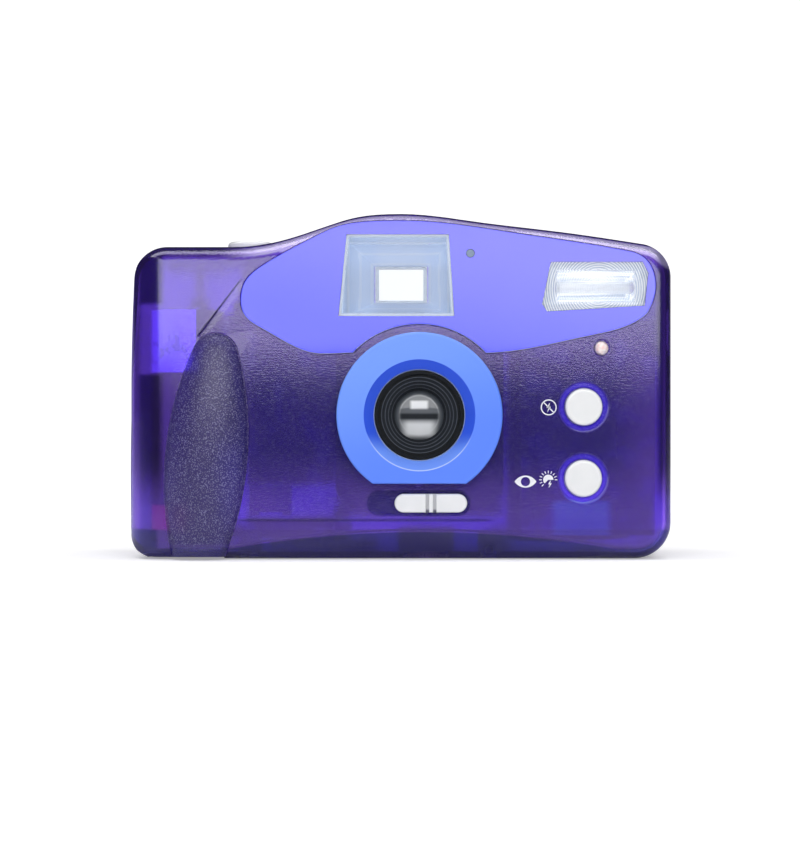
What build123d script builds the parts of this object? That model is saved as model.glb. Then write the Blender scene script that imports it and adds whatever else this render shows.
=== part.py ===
"""Compact 35 mm film camera with a translucent shell, as an assembly of separate pieces.

Millimetres. The front faces -Y, +X is to the right in the front view and +Z is up.
The origin is the middle of the footprint, on the surface that the camera stands on.
"""
from build123d import *
import math
import os

# Driving dimensions of the body
BODY_RIGHT_X = 60.0
BODY_LEFT_X = -59.9
SHOULDER_Z = 68.8
CROWN_Z = 76.1
FRONT_Y = -17.0
BACK_Y = 19.0
PARTING_Y = 4.0
WALL = 1.8
INNER_FRONT_Y = FRONT_Y + WALL
INNER_BACK_Y = BACK_Y - WALL
FRONT_EDGE_R = 3.2
REAR_EDGE_R = 3.0
GAP = 0.3
PAST = 1.0

# Corners of the front silhouette that are rounded: (X, Z, radius)
BODY_CORNERS = ((BODY_LEFT_X, 0, 6.5), (BODY_LEFT_X, SHOULDER_Z, 7.5),
                (BODY_RIGHT_X, SHOULDER_Z, 7.5), (BODY_RIGHT_X, 0, 8.0))

# Wide roll of the front face into the left side, and the arched chin below the front face
ROLL_R = 8.2
CHIN_CREST = (5.0, 6.2)
CHIN_ARCH_R = 242.0
CHIN_DEPTH = 3.2

# Shallow finger valley beside the top of the grip: tip, right, bottom and deepest corner in (X, Z)
VALLEY = ((-34.9, 61.2), (-31.5, 50.0), (-36.5, 42.0), (-44.4, 49.0))
VALLEY_DEPTH = 1.0

# Optics
LENS_X = 4.4
LENS_Z = 31.6
FILM_Y = 14.5
GATE_WIDE = 36.0
GATE_TALL = 24.0

# Raised finger grip, half of a long oval with blunt round ends that leans towards the lens
GRIP_CENTRE = (-42.4, -16.0, 22.0)
GRIP_HALF_WIDE = 9.2
GRIP_PROUD = 6.0
GRIP_END_R = 5.4
GRIP_END_AT = 22.6
GRIP_LEAN = 5.0
GRIP_FOOT_R = 5.0

# Windows in the glossy panel
PANEL_FACE_Y = -17.4
PANEL_SEAT_Y = -16.0
PANEL_EDGE_R = 0.25
WINDOW_FACE_Y = -17.3
FINDER_FLANGE_Y = (-15.9, -14.8)
FLASH_FLANGE_Y = (-15.9, -15.0)
FINDER_FRONT = ((-13.4, 53.3), (12.1, 53.3), (10.9, 71.3), (-11.6, 71.3))
FLASH_FRONT = ((31.3, 56.0), (32.4, 54.3), (53.9, 55.6), (54.7, 62.8), (53.4, 65.3), (33.2, 65.3))
FLASH_RINGS_AT = (43.7, 59.3)
SENSOR_AT = (15.6, 67.1)
SENSOR_R = 0.85
LAMP_AT = (44.4, 46.3)
LAMP_R = 1.5
FLASH_TUBE_AT = (-11.9, 59.9)
FLASH_TUBE_R = 1.3

# Eyepiece in its raised surround at the back
EYEPIECE_AT = (0.5, 62.6)
EYEPIECE_SEAT = (12.8, 9.6)
EYEPIECE_Y = (19.6, 21.0)
SURROUND_BACK_Y = 22.0

# Lens cover slider and its fork-driven blade
SLIDER_LONG = 15.9
SLIDER_TALL = 4.1
SLIDER_AT = (6.9, 12.3)
SLIDER_TRAVEL = 4.6
COVER_PIVOT = (LENS_X, LENS_Z - 15.0)
COVER_SWING = 49.4
SLIDER_NECK_HALF = 2.0
FORK_PIN = (COVER_PIVOT[0] + SLIDER_TRAVEL / 2, COVER_PIVOT[1] - 5.0)
BLADE_Y = (-14.3, -13.9)
KEEPER_Y = (-15.0, -14.6)

# Lens, shutter and light box, front to back
LENS_R = 5.5
REAR_LENS_R = 4.55
BARREL_R = 6.6
BASE_Y = (-13.6, -12.2)
BASE_X = (-14.0, 23.0)
BASE_Z = (13.6, 46.5)
SHUTTER_ARM = 9.0
SHUTTER_PIVOT = (LENS_X + SHUTTER_ARM, LENS_Z)
SHUTTER_Y = (-7.3, -7.05)
SHUTTER_PIN_R = 0.8
COVER_PIN_R = 0.9

# Front buttons
BUTTON_R = 4.07
BUTTON_AT = {"flash_off_button": (40.5, 33.4), "fill_flash_button": (40.4, 17.7)}
BUTTON_FACE_Y = -17.9
BUTTON_FLANGE_Y = (-14.9, -14.4)
BUTTON_RECESS_R = 5.4
BUTTON_RECESS_DEPTH = 0.9
BOARD_Y = (-12.9, -11.9)

# Release button
RELEASE_AT = (-33.7, -3.0)
RELEASE_R = 5.1
RELEASE_TOP_Z = 70.8

# Film transport, all on upright axes
SPOOL_AT = (-26.4, 3.5)
CARTRIDGE_AT = (38.6, 2.6)
SPROCKET_AT = (-9.0, 11.2)
COUNTER_AT = (-46.0, 6.5)
GEAR_MODULE = 0.6
PINION_TEETH = 10
WHEEL_TEETH = 30
GEAR_CENTRES = GEAR_MODULE * (PINION_TEETH + WHEEL_TEETH) / 2
REDUCTION_AT = (SPOOL_AT[0] + GEAR_CENTRES, SPOOL_AT[1])
LOWER_GEARS_Z = (2.3, 3.8)
UPPER_GEARS_Z = (5.2, 7.2)
MOTOR_R = 5.5
SPOOL_PIN_R = 1.45
FORK_PIN_R = 1.5
SPROCKET_PIN_R = 1.0
GEAR_PIN_R = 0.8
MOTOR_PIN_R = 0.8

# Two upright penlight cells, one behind the other
CELL_X = -47.25
CELL_YS = (-7.4, 7.6)
BAY_INNER_R = 7.45
BAY_OUTER_R = 8.25
BAY_Z = (3.6, 54.8)
BAY_ROOF = 0.9

# Film door and its hinge
DOOR_Z = (4.0, 55.0)
DOOR_X = (-54.6, 56.8)
DOOR_INNER_Y = 17.0
DOOR_HINGE = (-57.4, 16.5)
KNUCKLE_R = 2.4
DOOR_PIN_R = 1.0
COVER_KNUCKLES = ((3.7, 12.7), (46.3, 55.3))
FILM_WINDOW = ((31.0, 46.0), (20.0, 43.0))
PRESSURE_PLATE_Y = (14.9, 15.6)

# Battery door and its hinge
BATTERY_DOOR_X = (-55.7, -38.8)
BATTERY_HINGE_Y = 14.8
BATTERY_HINGE_Z = 1.9
BATTERY_PIN_R = 0.8
BATTERY_OPENING_X = (BATTERY_DOOR_X[0] - 0.2, BATTERY_DOOR_X[1] + 0.2)

# Fasteners
BASE_SCREWS = ((-33.0, -11.0), (20.0, -11.0), (23.5, 12.0))
SIDE_SCREW = (-2.0, 60.0)
SCREW_HEAD_R = 1.8
SCREW_SHANK_R = 1.0
SCREW_DEPTH = 5.2
BUSH_AT = (6.0, -3.5)
BUSH_R = 5.0
BUSH_TALL = 6.4

# Strap bar across a recess in the right side
STRAP_HOLLOW = ((55.4, 61.0), (-7.0, -1.0), (46.0, 55.0))
STRAP_WALL = 1.2
STRAP_BAR_R = 0.9


def block(x, y, z):
    """Box between low and high values on each axis."""
    middle = Pos((x[0] + x[1]) / 2, (y[0] + y[1]) / 2, (z[0] + z[1]) / 2)
    return middle * Box(x[1] - x[0], y[1] - y[0], z[1] - z[0])


def rod_x(radius, at, x0, x1):
    """Round rod along X through at = (y, z)."""
    return Pos((x0 + x1) / 2, at[0], at[1]) * Rot(0, 90, 0) * Cylinder(radius, x1 - x0)


def rod_y(radius, at, y0, y1):
    """Round rod along Y through at = (x, z)."""
    return Pos(at[0], (y0 + y1) / 2, at[1]) * Rot(90, 0, 0) * Cylinder(radius, y1 - y0)


def rod_z(radius, at, z0, z1):
    """Round rod along Z through at = (x, y)."""
    return Pos(at[0], at[1], (z0 + z1) / 2) * Cylinder(radius, z1 - z0)


def plate(sketch, y0, y1):
    """Front-view outline, drawn in (X, Z), given depth from y0 at its front back to y1."""
    return extrude(Plane.XZ.offset(-y1) * sketch, amount=y1 - y0)


def polygon(points):
    """Closed face through corner points, in (X, Z) or in space."""
    return make_face(Polyline(*points, close=True))


def rim(solid, front=True):
    """Edges round the foremost or rearmost flat face of a solid."""
    faces = solid.faces().sort_by(Axis.Y)
    return (faces[0] if front else faces[-1]).edges()


def frustum(front, y0, rear, y1):
    """Straight-sided taper from a rectangle at y0 to one at y1, each (x0, x1, z0, z1)."""
    def section(rectangle, y):
        x0, x1, z0, z1 = rectangle
        face = Pos((x0 + x1) / 2, (z0 + z1) / 2) * Rectangle(x1 - x0, z1 - z0)
        return Plane.XZ.offset(-y) * face

    return loft(Sketch() + [section(front, y0), section(rear, y1)])


def turned_y(profile, at):
    """Ring turned about the Y line through at = (x, z), from a profile of (radius, y) points."""
    face = make_face(Polyline(*profile, close=True))
    return Pos(at[0], 0, at[1]) * revolve(face, axis=Axis.Y)


def coil(radius, wire, pitch, turns):
    """Round-wire helical spring that stands on the origin."""
    path = Helix(pitch, pitch * turns, radius)
    section = Plane(path @ 0, z_dir=path % 0) * Circle(wire)
    return sweep(section, path=path, is_frenet=True)


def gear(teeth, at, z, bore, tooth_at_zero):
    """Spur gear with straight-flanked teeth, thinned for backlash."""
    pitch_r = GEAR_MODULE * teeth / 2
    root_r = pitch_r - 1.25 * GEAR_MODULE
    tip_r = pitch_r + 0.9 * GEAR_MODULE
    step = 2 * math.pi / teeth
    start = 0 if tooth_at_zero else step / 2
    root_half, tip_half = 0.27 * step, 0.11 * step
    flanks = ((root_r, -root_half), (tip_r, -tip_half), (tip_r, tip_half), (root_r, root_half))
    points = []
    for tooth in range(teeth):
        middle = start + tooth * step
        for radius, turn in flanks:
            angle = middle + turn
            points.append((radius * math.cos(angle), radius * math.sin(angle)))
    solid = Pos(at[0], at[1], z[0]) * extrude(polygon(points), amount=z[1] - z[0])
    return solid - rod_z(bore, at, z[0] - 1, z[1] + 1)


def body_outline(inset):
    """Front silhouette of the body, set in by a wall thickness, with its corners still sharp."""
    x0, x1 = BODY_LEFT_X + inset, BODY_RIGHT_X - inset
    shoulder_z, crown_z, end_z = SHOULDER_Z - inset, CROWN_Z - inset, 68.5 - inset
    left = Spline((x0, inset), (x0 - 0.1, 30.0), (x0 + 1.6, shoulder_z))
    shoulder = Line((x0 + 1.6, shoulder_z), (-37.0, shoulder_z))
    rise = Spline((-37.0, shoulder_z), (-24.6, 70.6 - inset), (-14.0, 74.1 - inset), (0.2, crown_z),
                  tangents=((1, 0), (1, 0)))
    fall = Spline((0.2, crown_z), (16.1, 74.5 - inset), (37.3, 71.9 - inset), (x1, end_z),
                  tangents=((1, 0), (1, -0.15)))
    right = Line((x1, end_z), (x1, inset))
    base = Line((x1, inset), (x0, inset))
    return make_face(left + shoulder + rise + fall + right + base)


def body_block(inset, y0, y1, front_r=0.0, rear_r=0.0):
    """Solid of the body's silhouette, set in by a wall thickness, between two depths."""
    solid = plate(body_outline(inset), y0, y1)
    for x, z, radius in BODY_CORNERS:
        edges = solid.edges().filter_by(Axis.Y)
        nearest = min(edges, key=lambda edge: math.hypot(edge.center().X - x, edge.center().Z - z))
        solid = fillet(nearest, radius - inset)
    if front_r:
        solid = fillet(rim(solid), front_r)
    if rear_r:
        solid = fillet(rim(solid, front=False), rear_r)
    return solid


def left_roll(inset):
    """What the wide roll takes off the front left edge, set in by a wall thickness."""
    axis = (BODY_LEFT_X + ROLL_R, FRONT_Y + ROLL_R)
    reach, low, high = 20.0, -5.0, 80.0
    corner = block((axis[0] - reach, axis[0]), (axis[1] - reach, axis[1]), (low, high))
    return corner - rod_z(ROLL_R - inset, axis, low - PAST, high + PAST)


def chin_cut(inset):
    """Leaning bar of large radius that takes off the lower front edge along an arched line."""
    lean = math.degrees(math.atan2(CHIN_DEPTH, CHIN_CREST[1]))
    bar_r = CHIN_ARCH_R / math.sin(math.radians(lean))
    bar_long = 60.0
    bar = Pos(0, -bar_r, 0) * Cylinder(bar_r + inset, bar_long)
    return Pos(CHIN_CREST[0], FRONT_Y, CHIN_CREST[1]) * Rot(lean, 0, 0) * bar


def front_form(inset, y0, y1, front_r):
    """Front half of the body's shape, set in by a wall thickness."""
    return body_block(inset, y0, y1, front_r=front_r) - left_roll(inset) - chin_cut(inset)


def finger_valley():
    """Flat-sided hollow with its deepest corner against the grip."""
    tip, right, bottom, deep = ((x, FRONT_Y, z) for x, z in VALLEY)
    floor = (deep[0], FRONT_Y + VALLEY_DEPTH, deep[2])
    corners = ((tip, bottom, right), (tip, deep, bottom), (tip, right, floor), (right, bottom, floor),
               (tip, floor, deep), (bottom, deep, floor))
    return Solid(Shell([polygon(corner) for corner in corners]))


def grip_oval(inset):
    """The grip's flattened oval, set in by a wall thickness: round ends joined by long side arcs."""
    half_wide, end_r = GRIP_HALF_WIDE - inset, GRIP_END_R - inset
    side_r = (half_wide ** 2 + GRIP_END_AT ** 2 - end_r ** 2) / (2 * (half_wide - end_r))
    meeting = math.atan2(GRIP_END_AT, side_r - half_wide)
    halfway = (meeting + math.pi / 2) / 2

    def on_end(angle, side):
        return (end_r * math.cos(angle), 0, side * (GRIP_END_AT + end_r * math.sin(angle)))

    top, bottom = (0, 0, GRIP_END_AT + end_r), (0, 0, -GRIP_END_AT - end_r)
    outline = (ThreePointArc(bottom, on_end(halfway, -1), on_end(meeting, -1))
               + ThreePointArc(on_end(meeting, -1), (half_wide, 0, 0), on_end(meeting, 1))
               + ThreePointArc(on_end(meeting, 1), on_end(halfway, 1), top) + Line(top, bottom))
    oval = revolve(make_face(outline), axis=Axis.Z)
    return scale(oval, by=(1, (GRIP_PROUD - inset) / half_wide, 1))


def finger_grip(inset):
    """The grip's shape, set in by a wall thickness and rounded under at its foot."""
    keep = block((-70, -20), (-23.0 + inset, 0), (0.5 + inset, 60))
    foot = keep.edges().filter_by(Axis.X).sort_by(lambda edge: edge.center().Y + edge.center().Z)[0]
    return (Pos(*GRIP_CENTRE) * Rot(0, GRIP_LEAN, 0) * grip_oval(inset)) & fillet(foot, GRIP_FOOT_R)


def panel_outline(margin=0.0):
    """Outline of the glossy window panel, which ends in an arc round the lens, less a margin."""
    arc_r = 19.8 + margin
    corner_z = 45.05 + margin
    reach = math.sqrt(arc_r ** 2 - (corner_z - LENS_Z) ** 2)
    arc_right = (LENS_X + reach, corner_z)
    arc_left = (LENS_X - reach, corner_z)
    tip = (-35.0 + margin, 58.0)
    crest = (0.2, 74.5 - margin)
    shoulder = (50.5, 67.8 - margin)
    heel = (54.6 - margin, 53.8 + margin)
    brow = Spline(tip, (-30.4 + margin / 2, 64.5 - margin), (-18.6, 71.0 - margin), crest,
                  tangents=((0.1, 1), (1, 0)))
    top = Spline(crest, (24.7, 71.9 - margin), shoulder, tangents=((1, 0), (1, -0.2)))
    end = Spline(shoulder, (56.3 - margin, 62.0), heel, tangents=((1, -0.2), (-0.6, -1)))
    under = Spline(heel, (41.1, 48.7 + margin), arc_right, tangents=((-0.8, -0.8), (-1, -0.02)))
    arc = ThreePointArc(arc_right, (LENS_X, LENS_Z + arc_r), arc_left)
    chin = Spline(arc_left, (-19.1, 45.1 + margin), (-30.1, 50.4 + margin), tip,
                  tangents=((-1, 0.02), (0.1, 1)))
    return make_face(brow + top + end + under + arc + chin)


def d_shape(radius, flat_below):
    """Disc about the lens axis with a flat cut along its bottom."""
    keep = Pos(LENS_X, LENS_Z + radius - flat_below / 2) * Rectangle(4 * radius, 2 * radius + flat_below)
    return Pos(LENS_X, LENS_Z) * Circle(radius) & keep


def slider_recess():
    """Round-ended trough that the lens cover slider runs in, with a shallow step round it."""
    steps = ((-7.2, 15.6, 5.6, 0.3), (-5.7, 15.2, 4.7, 0.8))
    recess = Part()
    for left, right, tall, depth in steps:
        slot = Pos((left + right) / 2, SLIDER_AT[1]) * SlotOverall(right - left, tall)
        recess += plate(slot, FRONT_Y - PAST, FRONT_Y + depth)
    return recess


def button_recess(centre):
    """Round recess of a front button, with a softened outer edge."""
    edge = 0.35
    outer_r = BUTTON_RECESS_R + edge
    front_y, back_y = FRONT_Y - PAST, FRONT_Y + BUTTON_RECESS_DEPTH
    profile = ((0, front_y), (outer_r, front_y), (outer_r, FRONT_Y), (BUTTON_RECESS_R, FRONT_Y + edge),
               (BUTTON_RECESS_R, back_y), (0, back_y))
    return turned_y(profile, centre)


def front_cover():
    """Translucent front shell with the grip, the window seats and every front opening."""
    through = (FRONT_Y - PAST, INNER_FRONT_Y + PAST)
    shell = front_form(0, FRONT_Y, PARTING_Y, FRONT_EDGE_R) - finger_valley()
    shell += finger_grip(0)
    shell -= front_form(WALL, INNER_FRONT_Y, PARTING_Y + PAST, FRONT_EDGE_R - WALL)
    shell -= finger_grip(WALL) & block((-70, 70), (-40, -10), (0, 60))
    shell -= rod_z(BAY_OUTER_R + 0.2, (CELL_X, CELL_YS[0]), WALL, BAY_Z[1] + 0.4)
    shell -= plate(panel_outline(), FRONT_Y - 2 * PAST, PANEL_SEAT_Y)
    for window in (FINDER_FRONT, FLASH_FRONT):
        shell -= plate(polygon(window), *through)
    shell -= rod_y(SENSOR_R + 0.1, SENSOR_AT, *through)
    shell -= rod_y(LAMP_R + 0.1, LAMP_AT, *through)
    shell -= rod_y(LAMP_R + 0.5, LAMP_AT, FRONT_Y - PAST, FRONT_Y + 0.4)
    shell -= plate(d_shape(17.0, 14.1), *through)
    shell -= slider_recess()
    slot_x = (FORK_PIN[0] - SLIDER_NECK_HALF - SLIDER_TRAVEL - GAP, FORK_PIN[0] + SLIDER_NECK_HALF + GAP)
    shell -= block(slot_x, through, (SLIDER_AT[1] - 1.4, SLIDER_AT[1] + 1.4))
    for centre in BUTTON_AT.values():
        shell -= button_recess(centre)
        shell -= rod_y(BUTTON_R + 0.15, centre, *through)
    shell -= rod_z(RELEASE_R + 0.2, RELEASE_AT, 60, 75)
    shell += strap_pocket() - block(*STRAP_HOLLOW)
    shell -= block(*STRAP_HOLLOW)
    shell -= strap_lug()
    shell += rod_z(BUSH_R + 1.4, BUSH_AT, WALL - 0.5, BUSH_TALL)
    shell -= rod_z(BUSH_R, BUSH_AT, -PAST, BUSH_TALL + PAST)
    shell -= block(BATTERY_OPENING_X, (-15.2, PARTING_Y + PAST), (-PAST, WALL + 0.6))
    return add_screw_holes(shell, front=True)


def strap_pocket():
    """Walls of the strap recess in the right side."""
    x, y, z = STRAP_HOLLOW
    outer_y, outer_z = ((low - STRAP_WALL, high + STRAP_WALL) for low, high in (y, z))
    return block((x[0] - STRAP_WALL, BODY_RIGHT_X - 1.0), outer_y, outer_z)


def strap_lug():
    """Steel bar across the strap recess."""
    y, z = STRAP_HOLLOW[1:]
    hidden = 0.8
    return rod_z(STRAP_BAR_R, (58.7, sum(y) / 2), z[0] - hidden, z[1] + hidden)


def screw():
    """Pan-head screw with its head down at the origin and its shank along +Z."""
    head_tall, slot_long, slot_wide, slot_deep = 1.0, 2.2, 0.4, 0.5
    solid = rod_z(SCREW_HEAD_R, (0, 0), 0, head_tall) + rod_z(SCREW_SHANK_R, (0, 0), head_tall, SCREW_DEPTH)
    cross = Box(slot_long, slot_wide, 2 * slot_deep) + Box(slot_wide, slot_long, 2 * slot_deep)
    return solid - cross


def screw_places():
    """Location and cover of each housing screw: True for the front cover."""
    base = [(Pos(x, y, 0.4), y < PARTING_Y) for x, y in BASE_SCREWS]
    side = (Pos(BODY_RIGHT_X - 0.4, *SIDE_SCREW) * Rot(0, -90, 0), True)
    return base + [side]


def add_screw_holes(shell, front):
    """Bosses with counterbored holes where this cover's screws go."""
    boss_r, boss_z, head_deep = 2.6, (1.2, 5.6), 1.0
    for place, is_front in screw_places():
        if is_front == front:
            shell += place * rod_z(boss_r, (0, 0), *boss_z)
            shell -= place * rod_z(SCREW_SHANK_R, (0, 0), -PAST, boss_z[1] + 0.4)
            shell -= place * rod_z(SCREW_HEAD_R + 0.2, (0, 0), -PAST, head_deep)
    return shell


def cover_screws():
    """Self-tapping screws that hold the covers."""
    return Compound(children=[place * screw() for place, _ in screw_places()])


def eyepiece_surround():
    """Raised rounded block at the back that the eyepiece sits in."""
    return plate(Pos(*EYEPIECE_AT) * RectangleRounded(19.0, 13.2, 3.0), INNER_BACK_Y, SURROUND_BACK_Y)


def eyepiece_opening():
    """Seat of the eyepiece with the smaller light opening in front of it."""
    lip = 0.8
    wide, tall = EYEPIECE_SEAT
    seat = plate(Pos(*EYEPIECE_AT) * RectangleRounded(wide, tall, 1.2), EYEPIECE_Y[0], SURROUND_BACK_Y + PAST)
    light = Pos(*EYEPIECE_AT) * Rectangle(wide - 2 * lip, tall - 2 * lip)
    return seat + plate(light, 15.0, 20.0)


def rear_cover():
    """Rear shell: top, sides and floor behind the parting line, open where the film door closes."""
    shell = body_block(0, PARTING_Y, BACK_Y, rear_r=REAR_EDGE_R)
    inside = body_block(WALL, PARTING_Y - PAST, INNER_BACK_Y)
    light_shelf = block((-54.0, 57.0), (10.0, INNER_BACK_Y + 0.2), (55.3, 56.2))
    shell = shell - inside + (light_shelf & inside) + eyepiece_surround() - eyepiece_opening()

    door_z = (DOOR_Z[0] - GAP, DOOR_Z[1] + GAP)
    shell -= block((DOOR_X[0] - GAP, DOOR_X[1] + GAP), (16.0, BACK_Y + PAST), door_z)
    shell -= block((-62.0, DOOR_X[0] - GAP), (DOOR_HINGE[1] - KNUCKLE_R - GAP, BACK_Y + PAST), door_z)
    for low, high in COVER_KNUCKLES:
        shell += rod_z(KNUCKLE_R, DOOR_HINGE, low, high)
        shell += block((-59.6, -55.6), (12.6, DOOR_HINGE[1]), (low, high))
    shell -= rod_z(DOOR_PIN_R, DOOR_HINGE, DOOR_Z[0] - PAST, DOOR_Z[1] + PAST)

    counter_opening = block((-49.0, -43.0), (10.0, 14.0), (66.0, 70.0))
    latch_recess = block((58.95, 61.0), (7.2, 13.4), (24.0, 43.0))
    latch_slot = block((58.0, 61.0), (8.6, 12.0), (28.4, 39.2))
    switch_recess = block((39.0, 53.0), (8.2, 13.2), (-PAST, 0.9))
    switch_slot = block((41.6, 50.4), (9.6, 11.8), (-PAST, WALL + 0.5))
    shell = shell - counter_opening - latch_recess - latch_slot - switch_recess - switch_slot

    shell -= block(BATTERY_OPENING_X, (PARTING_Y - PAST, BATTERY_HINGE_Y), (-PAST, WALL + 0.6))
    hinge_notch_y = (BATTERY_HINGE_Y - PAST, BATTERY_HINGE_Y + 2.2)
    shell -= block(BATTERY_OPENING_X, hinge_notch_y, (-PAST, BATTERY_HINGE_Z + 1.95))
    lug_long = 1.5
    lugs_x = (BATTERY_OPENING_X[0] - lug_long, BATTERY_OPENING_X[1] + lug_long)
    for low, high in ((lugs_x[0], BATTERY_OPENING_X[0]), (BATTERY_OPENING_X[1], lugs_x[1])):
        shell += block((low, high), (13.2, 16.4), (1.0, 3.4))
    shell -= rod_x(BATTERY_PIN_R, (BATTERY_HINGE_Y, BATTERY_HINGE_Z), *lugs_x)
    return add_screw_holes(shell, front=False)


def film_door():
    """Hinged back with its knuckle, the film window's opening and a catch lug."""
    skin = block(DOOR_X, (DOOR_INNER_Y, BACK_Y), DOOR_Z)
    skin = fillet(rim(skin, front=False), 0.6)
    low, high = COVER_KNUCKLES[0][1] + GAP, COVER_KNUCKLES[1][0] - GAP
    leaf_y = (DOOR_INNER_Y, DOOR_HINGE[1] + KNUCKLE_R)
    door = skin + rod_z(KNUCKLE_R, DOOR_HINGE, low, high)
    door += block((DOOR_HINGE[0], DOOR_X[0] + PAST), leaf_y, (low, high))
    door -= rod_z(DOOR_PIN_R + 0.05, DOOR_HINGE, low - PAST, high + PAST)
    window_x, window_z = FILM_WINDOW
    door -= block(window_x, (16.0, 20.0), window_z)
    catch_lug = block((53.6, 55.6), (11.5, DOOR_INNER_Y), (27.0, 35.0))
    door += catch_lug
    for z in (6.5, 51.5):
        light_rib = block((-50.0, 52.0), (16.2, DOOR_INNER_Y), (z, z + 1.0))
        door += light_rib
    return door


def film_window():
    """Clear window in the back, over the cartridge."""
    x, z = ((low + 0.05, high - 0.05) for low, high in FILM_WINDOW)
    return block(x, (17.6, 18.8), z)


def door_light_seal():
    """Foam frame that keeps light out round the film window."""
    foam_wide = 2.0
    x, z = FILM_WINDOW
    outer_x, outer_z = ((low - foam_wide, high + foam_wide) for low, high in (x, z))
    return block(outer_x, (16.4, DOOR_INNER_Y), outer_z) - block(x, (16.0, 18.0), z)


def pressure_plate():
    """Black plate that holds the film flat against the gate."""
    film = block((-13.0, 22.0), PRESSURE_PLATE_Y, (13.0, 50.0))
    return fillet(film.edges().filter_by(Axis.Y), 2.0)


def pressure_spring():
    """Bowed leaf spring between the door and the pressure plate."""
    bow_r, thick, z = 46.0, 0.25, (28.0, 35.0)
    centre = (LENS_X, PRESSURE_PLATE_Y[1] + bow_r)
    strip = rod_z(bow_r, centre, *z) - rod_z(bow_r - thick, centre, z[0] - PAST, z[1] + PAST)
    return strip & block((LENS_X - 10.0, LENS_X + 10.0), (15.0, DOOR_INNER_Y), z)


def door_hinge_pin():
    """Steel pin of the film door's hinge."""
    return rod_z(DOOR_PIN_R, DOOR_HINGE, COVER_KNUCKLES[0][0] + 0.2, COVER_KNUCKLES[1][1] - 0.2)


def door_latch():
    """Ridged slide in the right side that frees the film door."""
    knob = block((58.98, 59.9), (7.6, 13.0), (25.0, 35.0))
    groove_half = 0.3
    for z in (27.0, 29.0, 31.0, 33.0):
        knob -= block((59.5, 61.0), (7.0, 14.0), (z - groove_half, z + groove_half))
    neck = block((57.9, 59.0), (8.9, 11.7), (28.7, 35.0))
    keeper = block((56.7, 57.9), (7.2, 13.4), (25.0, 38.0))
    return knob + neck + keeper


def battery_door():
    """Flap under the battery bay, hinged along its rear edge."""
    x0, x1 = BATTERY_DOOR_X
    hinge = (BATTERY_HINGE_Y, BATTERY_HINGE_Z)
    flap = block((x0, x1), (-15.0, BATTERY_HINGE_Y - 0.8), (0.3, BATTERY_HINGE_Z))
    front_edge = flap.edges().filter_by(Axis.X).sort_by(lambda edge: edge.center().Y + edge.center().Z)[0]
    finger_notch = block((x0 + 4, x1 - 4), (-12.6, -9.4), (-PAST, 0.7))
    flap = fillet(front_edge, 1.2) + rod_x(1.3, hinge, x0, x1) - finger_notch
    return flap - rod_x(BATTERY_PIN_R + 0.05, hinge, x0 - PAST, x1 + PAST)


def battery_door_pin():
    """Steel pin of the battery door's hinge."""
    reach = 1.6
    ends = (BATTERY_DOOR_X[0] - reach, BATTERY_DOOR_X[1] + reach)
    return rod_x(BATTERY_PIN_R, (BATTERY_HINGE_Y, BATTERY_HINGE_Z), *ends)


def battery_door_contact():
    """Sheet-metal bridge on the door that joins the two cells."""
    top_z = BATTERY_HINGE_Z + 0.3
    strip = block((CELL_X - 4, CELL_X + 4), (-11.5, 11.5), (BATTERY_HINGE_Z, top_z))
    standing = (Align.CENTER, Align.CENTER, Align.MIN)
    for y in CELL_YS:
        strip += Pos(CELL_X, y, top_z) * Cone(2.6, 1.6, 0.6, align=standing)
    return strip


def battery_bay():
    """Two joined tubes that hold the cells, with a bearing for the counter on the roof."""
    z0, z1 = BAY_Z
    bay = rod_z(2.2, COUNTER_AT, z1 - 0.5, 58.0)
    for y in CELL_YS:
        bay += rod_z(BAY_OUTER_R, (CELL_X, y), z0, z1)
    for y in CELL_YS:
        bay -= rod_z(BAY_INNER_R, (CELL_X, y), z0 - PAST, z1 - BAY_ROOF)
    return bay - rod_z(0.95, COUNTER_AT, z1 + 0.3, 59.0)


def battery_contacts():
    """Contacts at the top of the bay: a coil for one cell and a button plate for the other."""
    roof = BAY_Z[1] - BAY_ROOF
    spring_tall, plate_thick = 5.4, 0.4
    springy = Pos(CELL_X, CELL_YS[1], roof - spring_tall) * coil(radius=3.4, wire=0.35, pitch=1.2, turns=4)
    button = rod_z(4.2, (CELL_X, CELL_YS[0]), roof - plate_thick, roof)
    return Compound(children=[springy, button])


def window_panel():
    """Glossy tinted panel across the top of the front, with seats for the windows."""
    through = (PANEL_FACE_Y - PAST, PANEL_SEAT_Y + PAST)
    panel = plate(panel_outline(0.15), PANEL_FACE_Y, PANEL_SEAT_Y)
    panel = fillet(rim(panel), PANEL_EDGE_R)
    for window in (FINDER_FRONT, FLASH_FRONT):
        panel -= plate(polygon(window), *through)
    return panel - rod_y(SENSOR_R + 0.1, SENSOR_AT, *through)


def inset_polygon(points, margin):
    """Polygon drawn in by a margin, with sharp corners."""
    return offset(polygon(points), amount=-margin, kind=Kind.INTERSECTION)


def viewfinder_window():
    """Clear front window of the viewfinder."""
    return plate(inset_polygon(FINDER_FRONT, 0.08), WINDOW_FACE_Y, PANEL_SEAT_Y)


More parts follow.
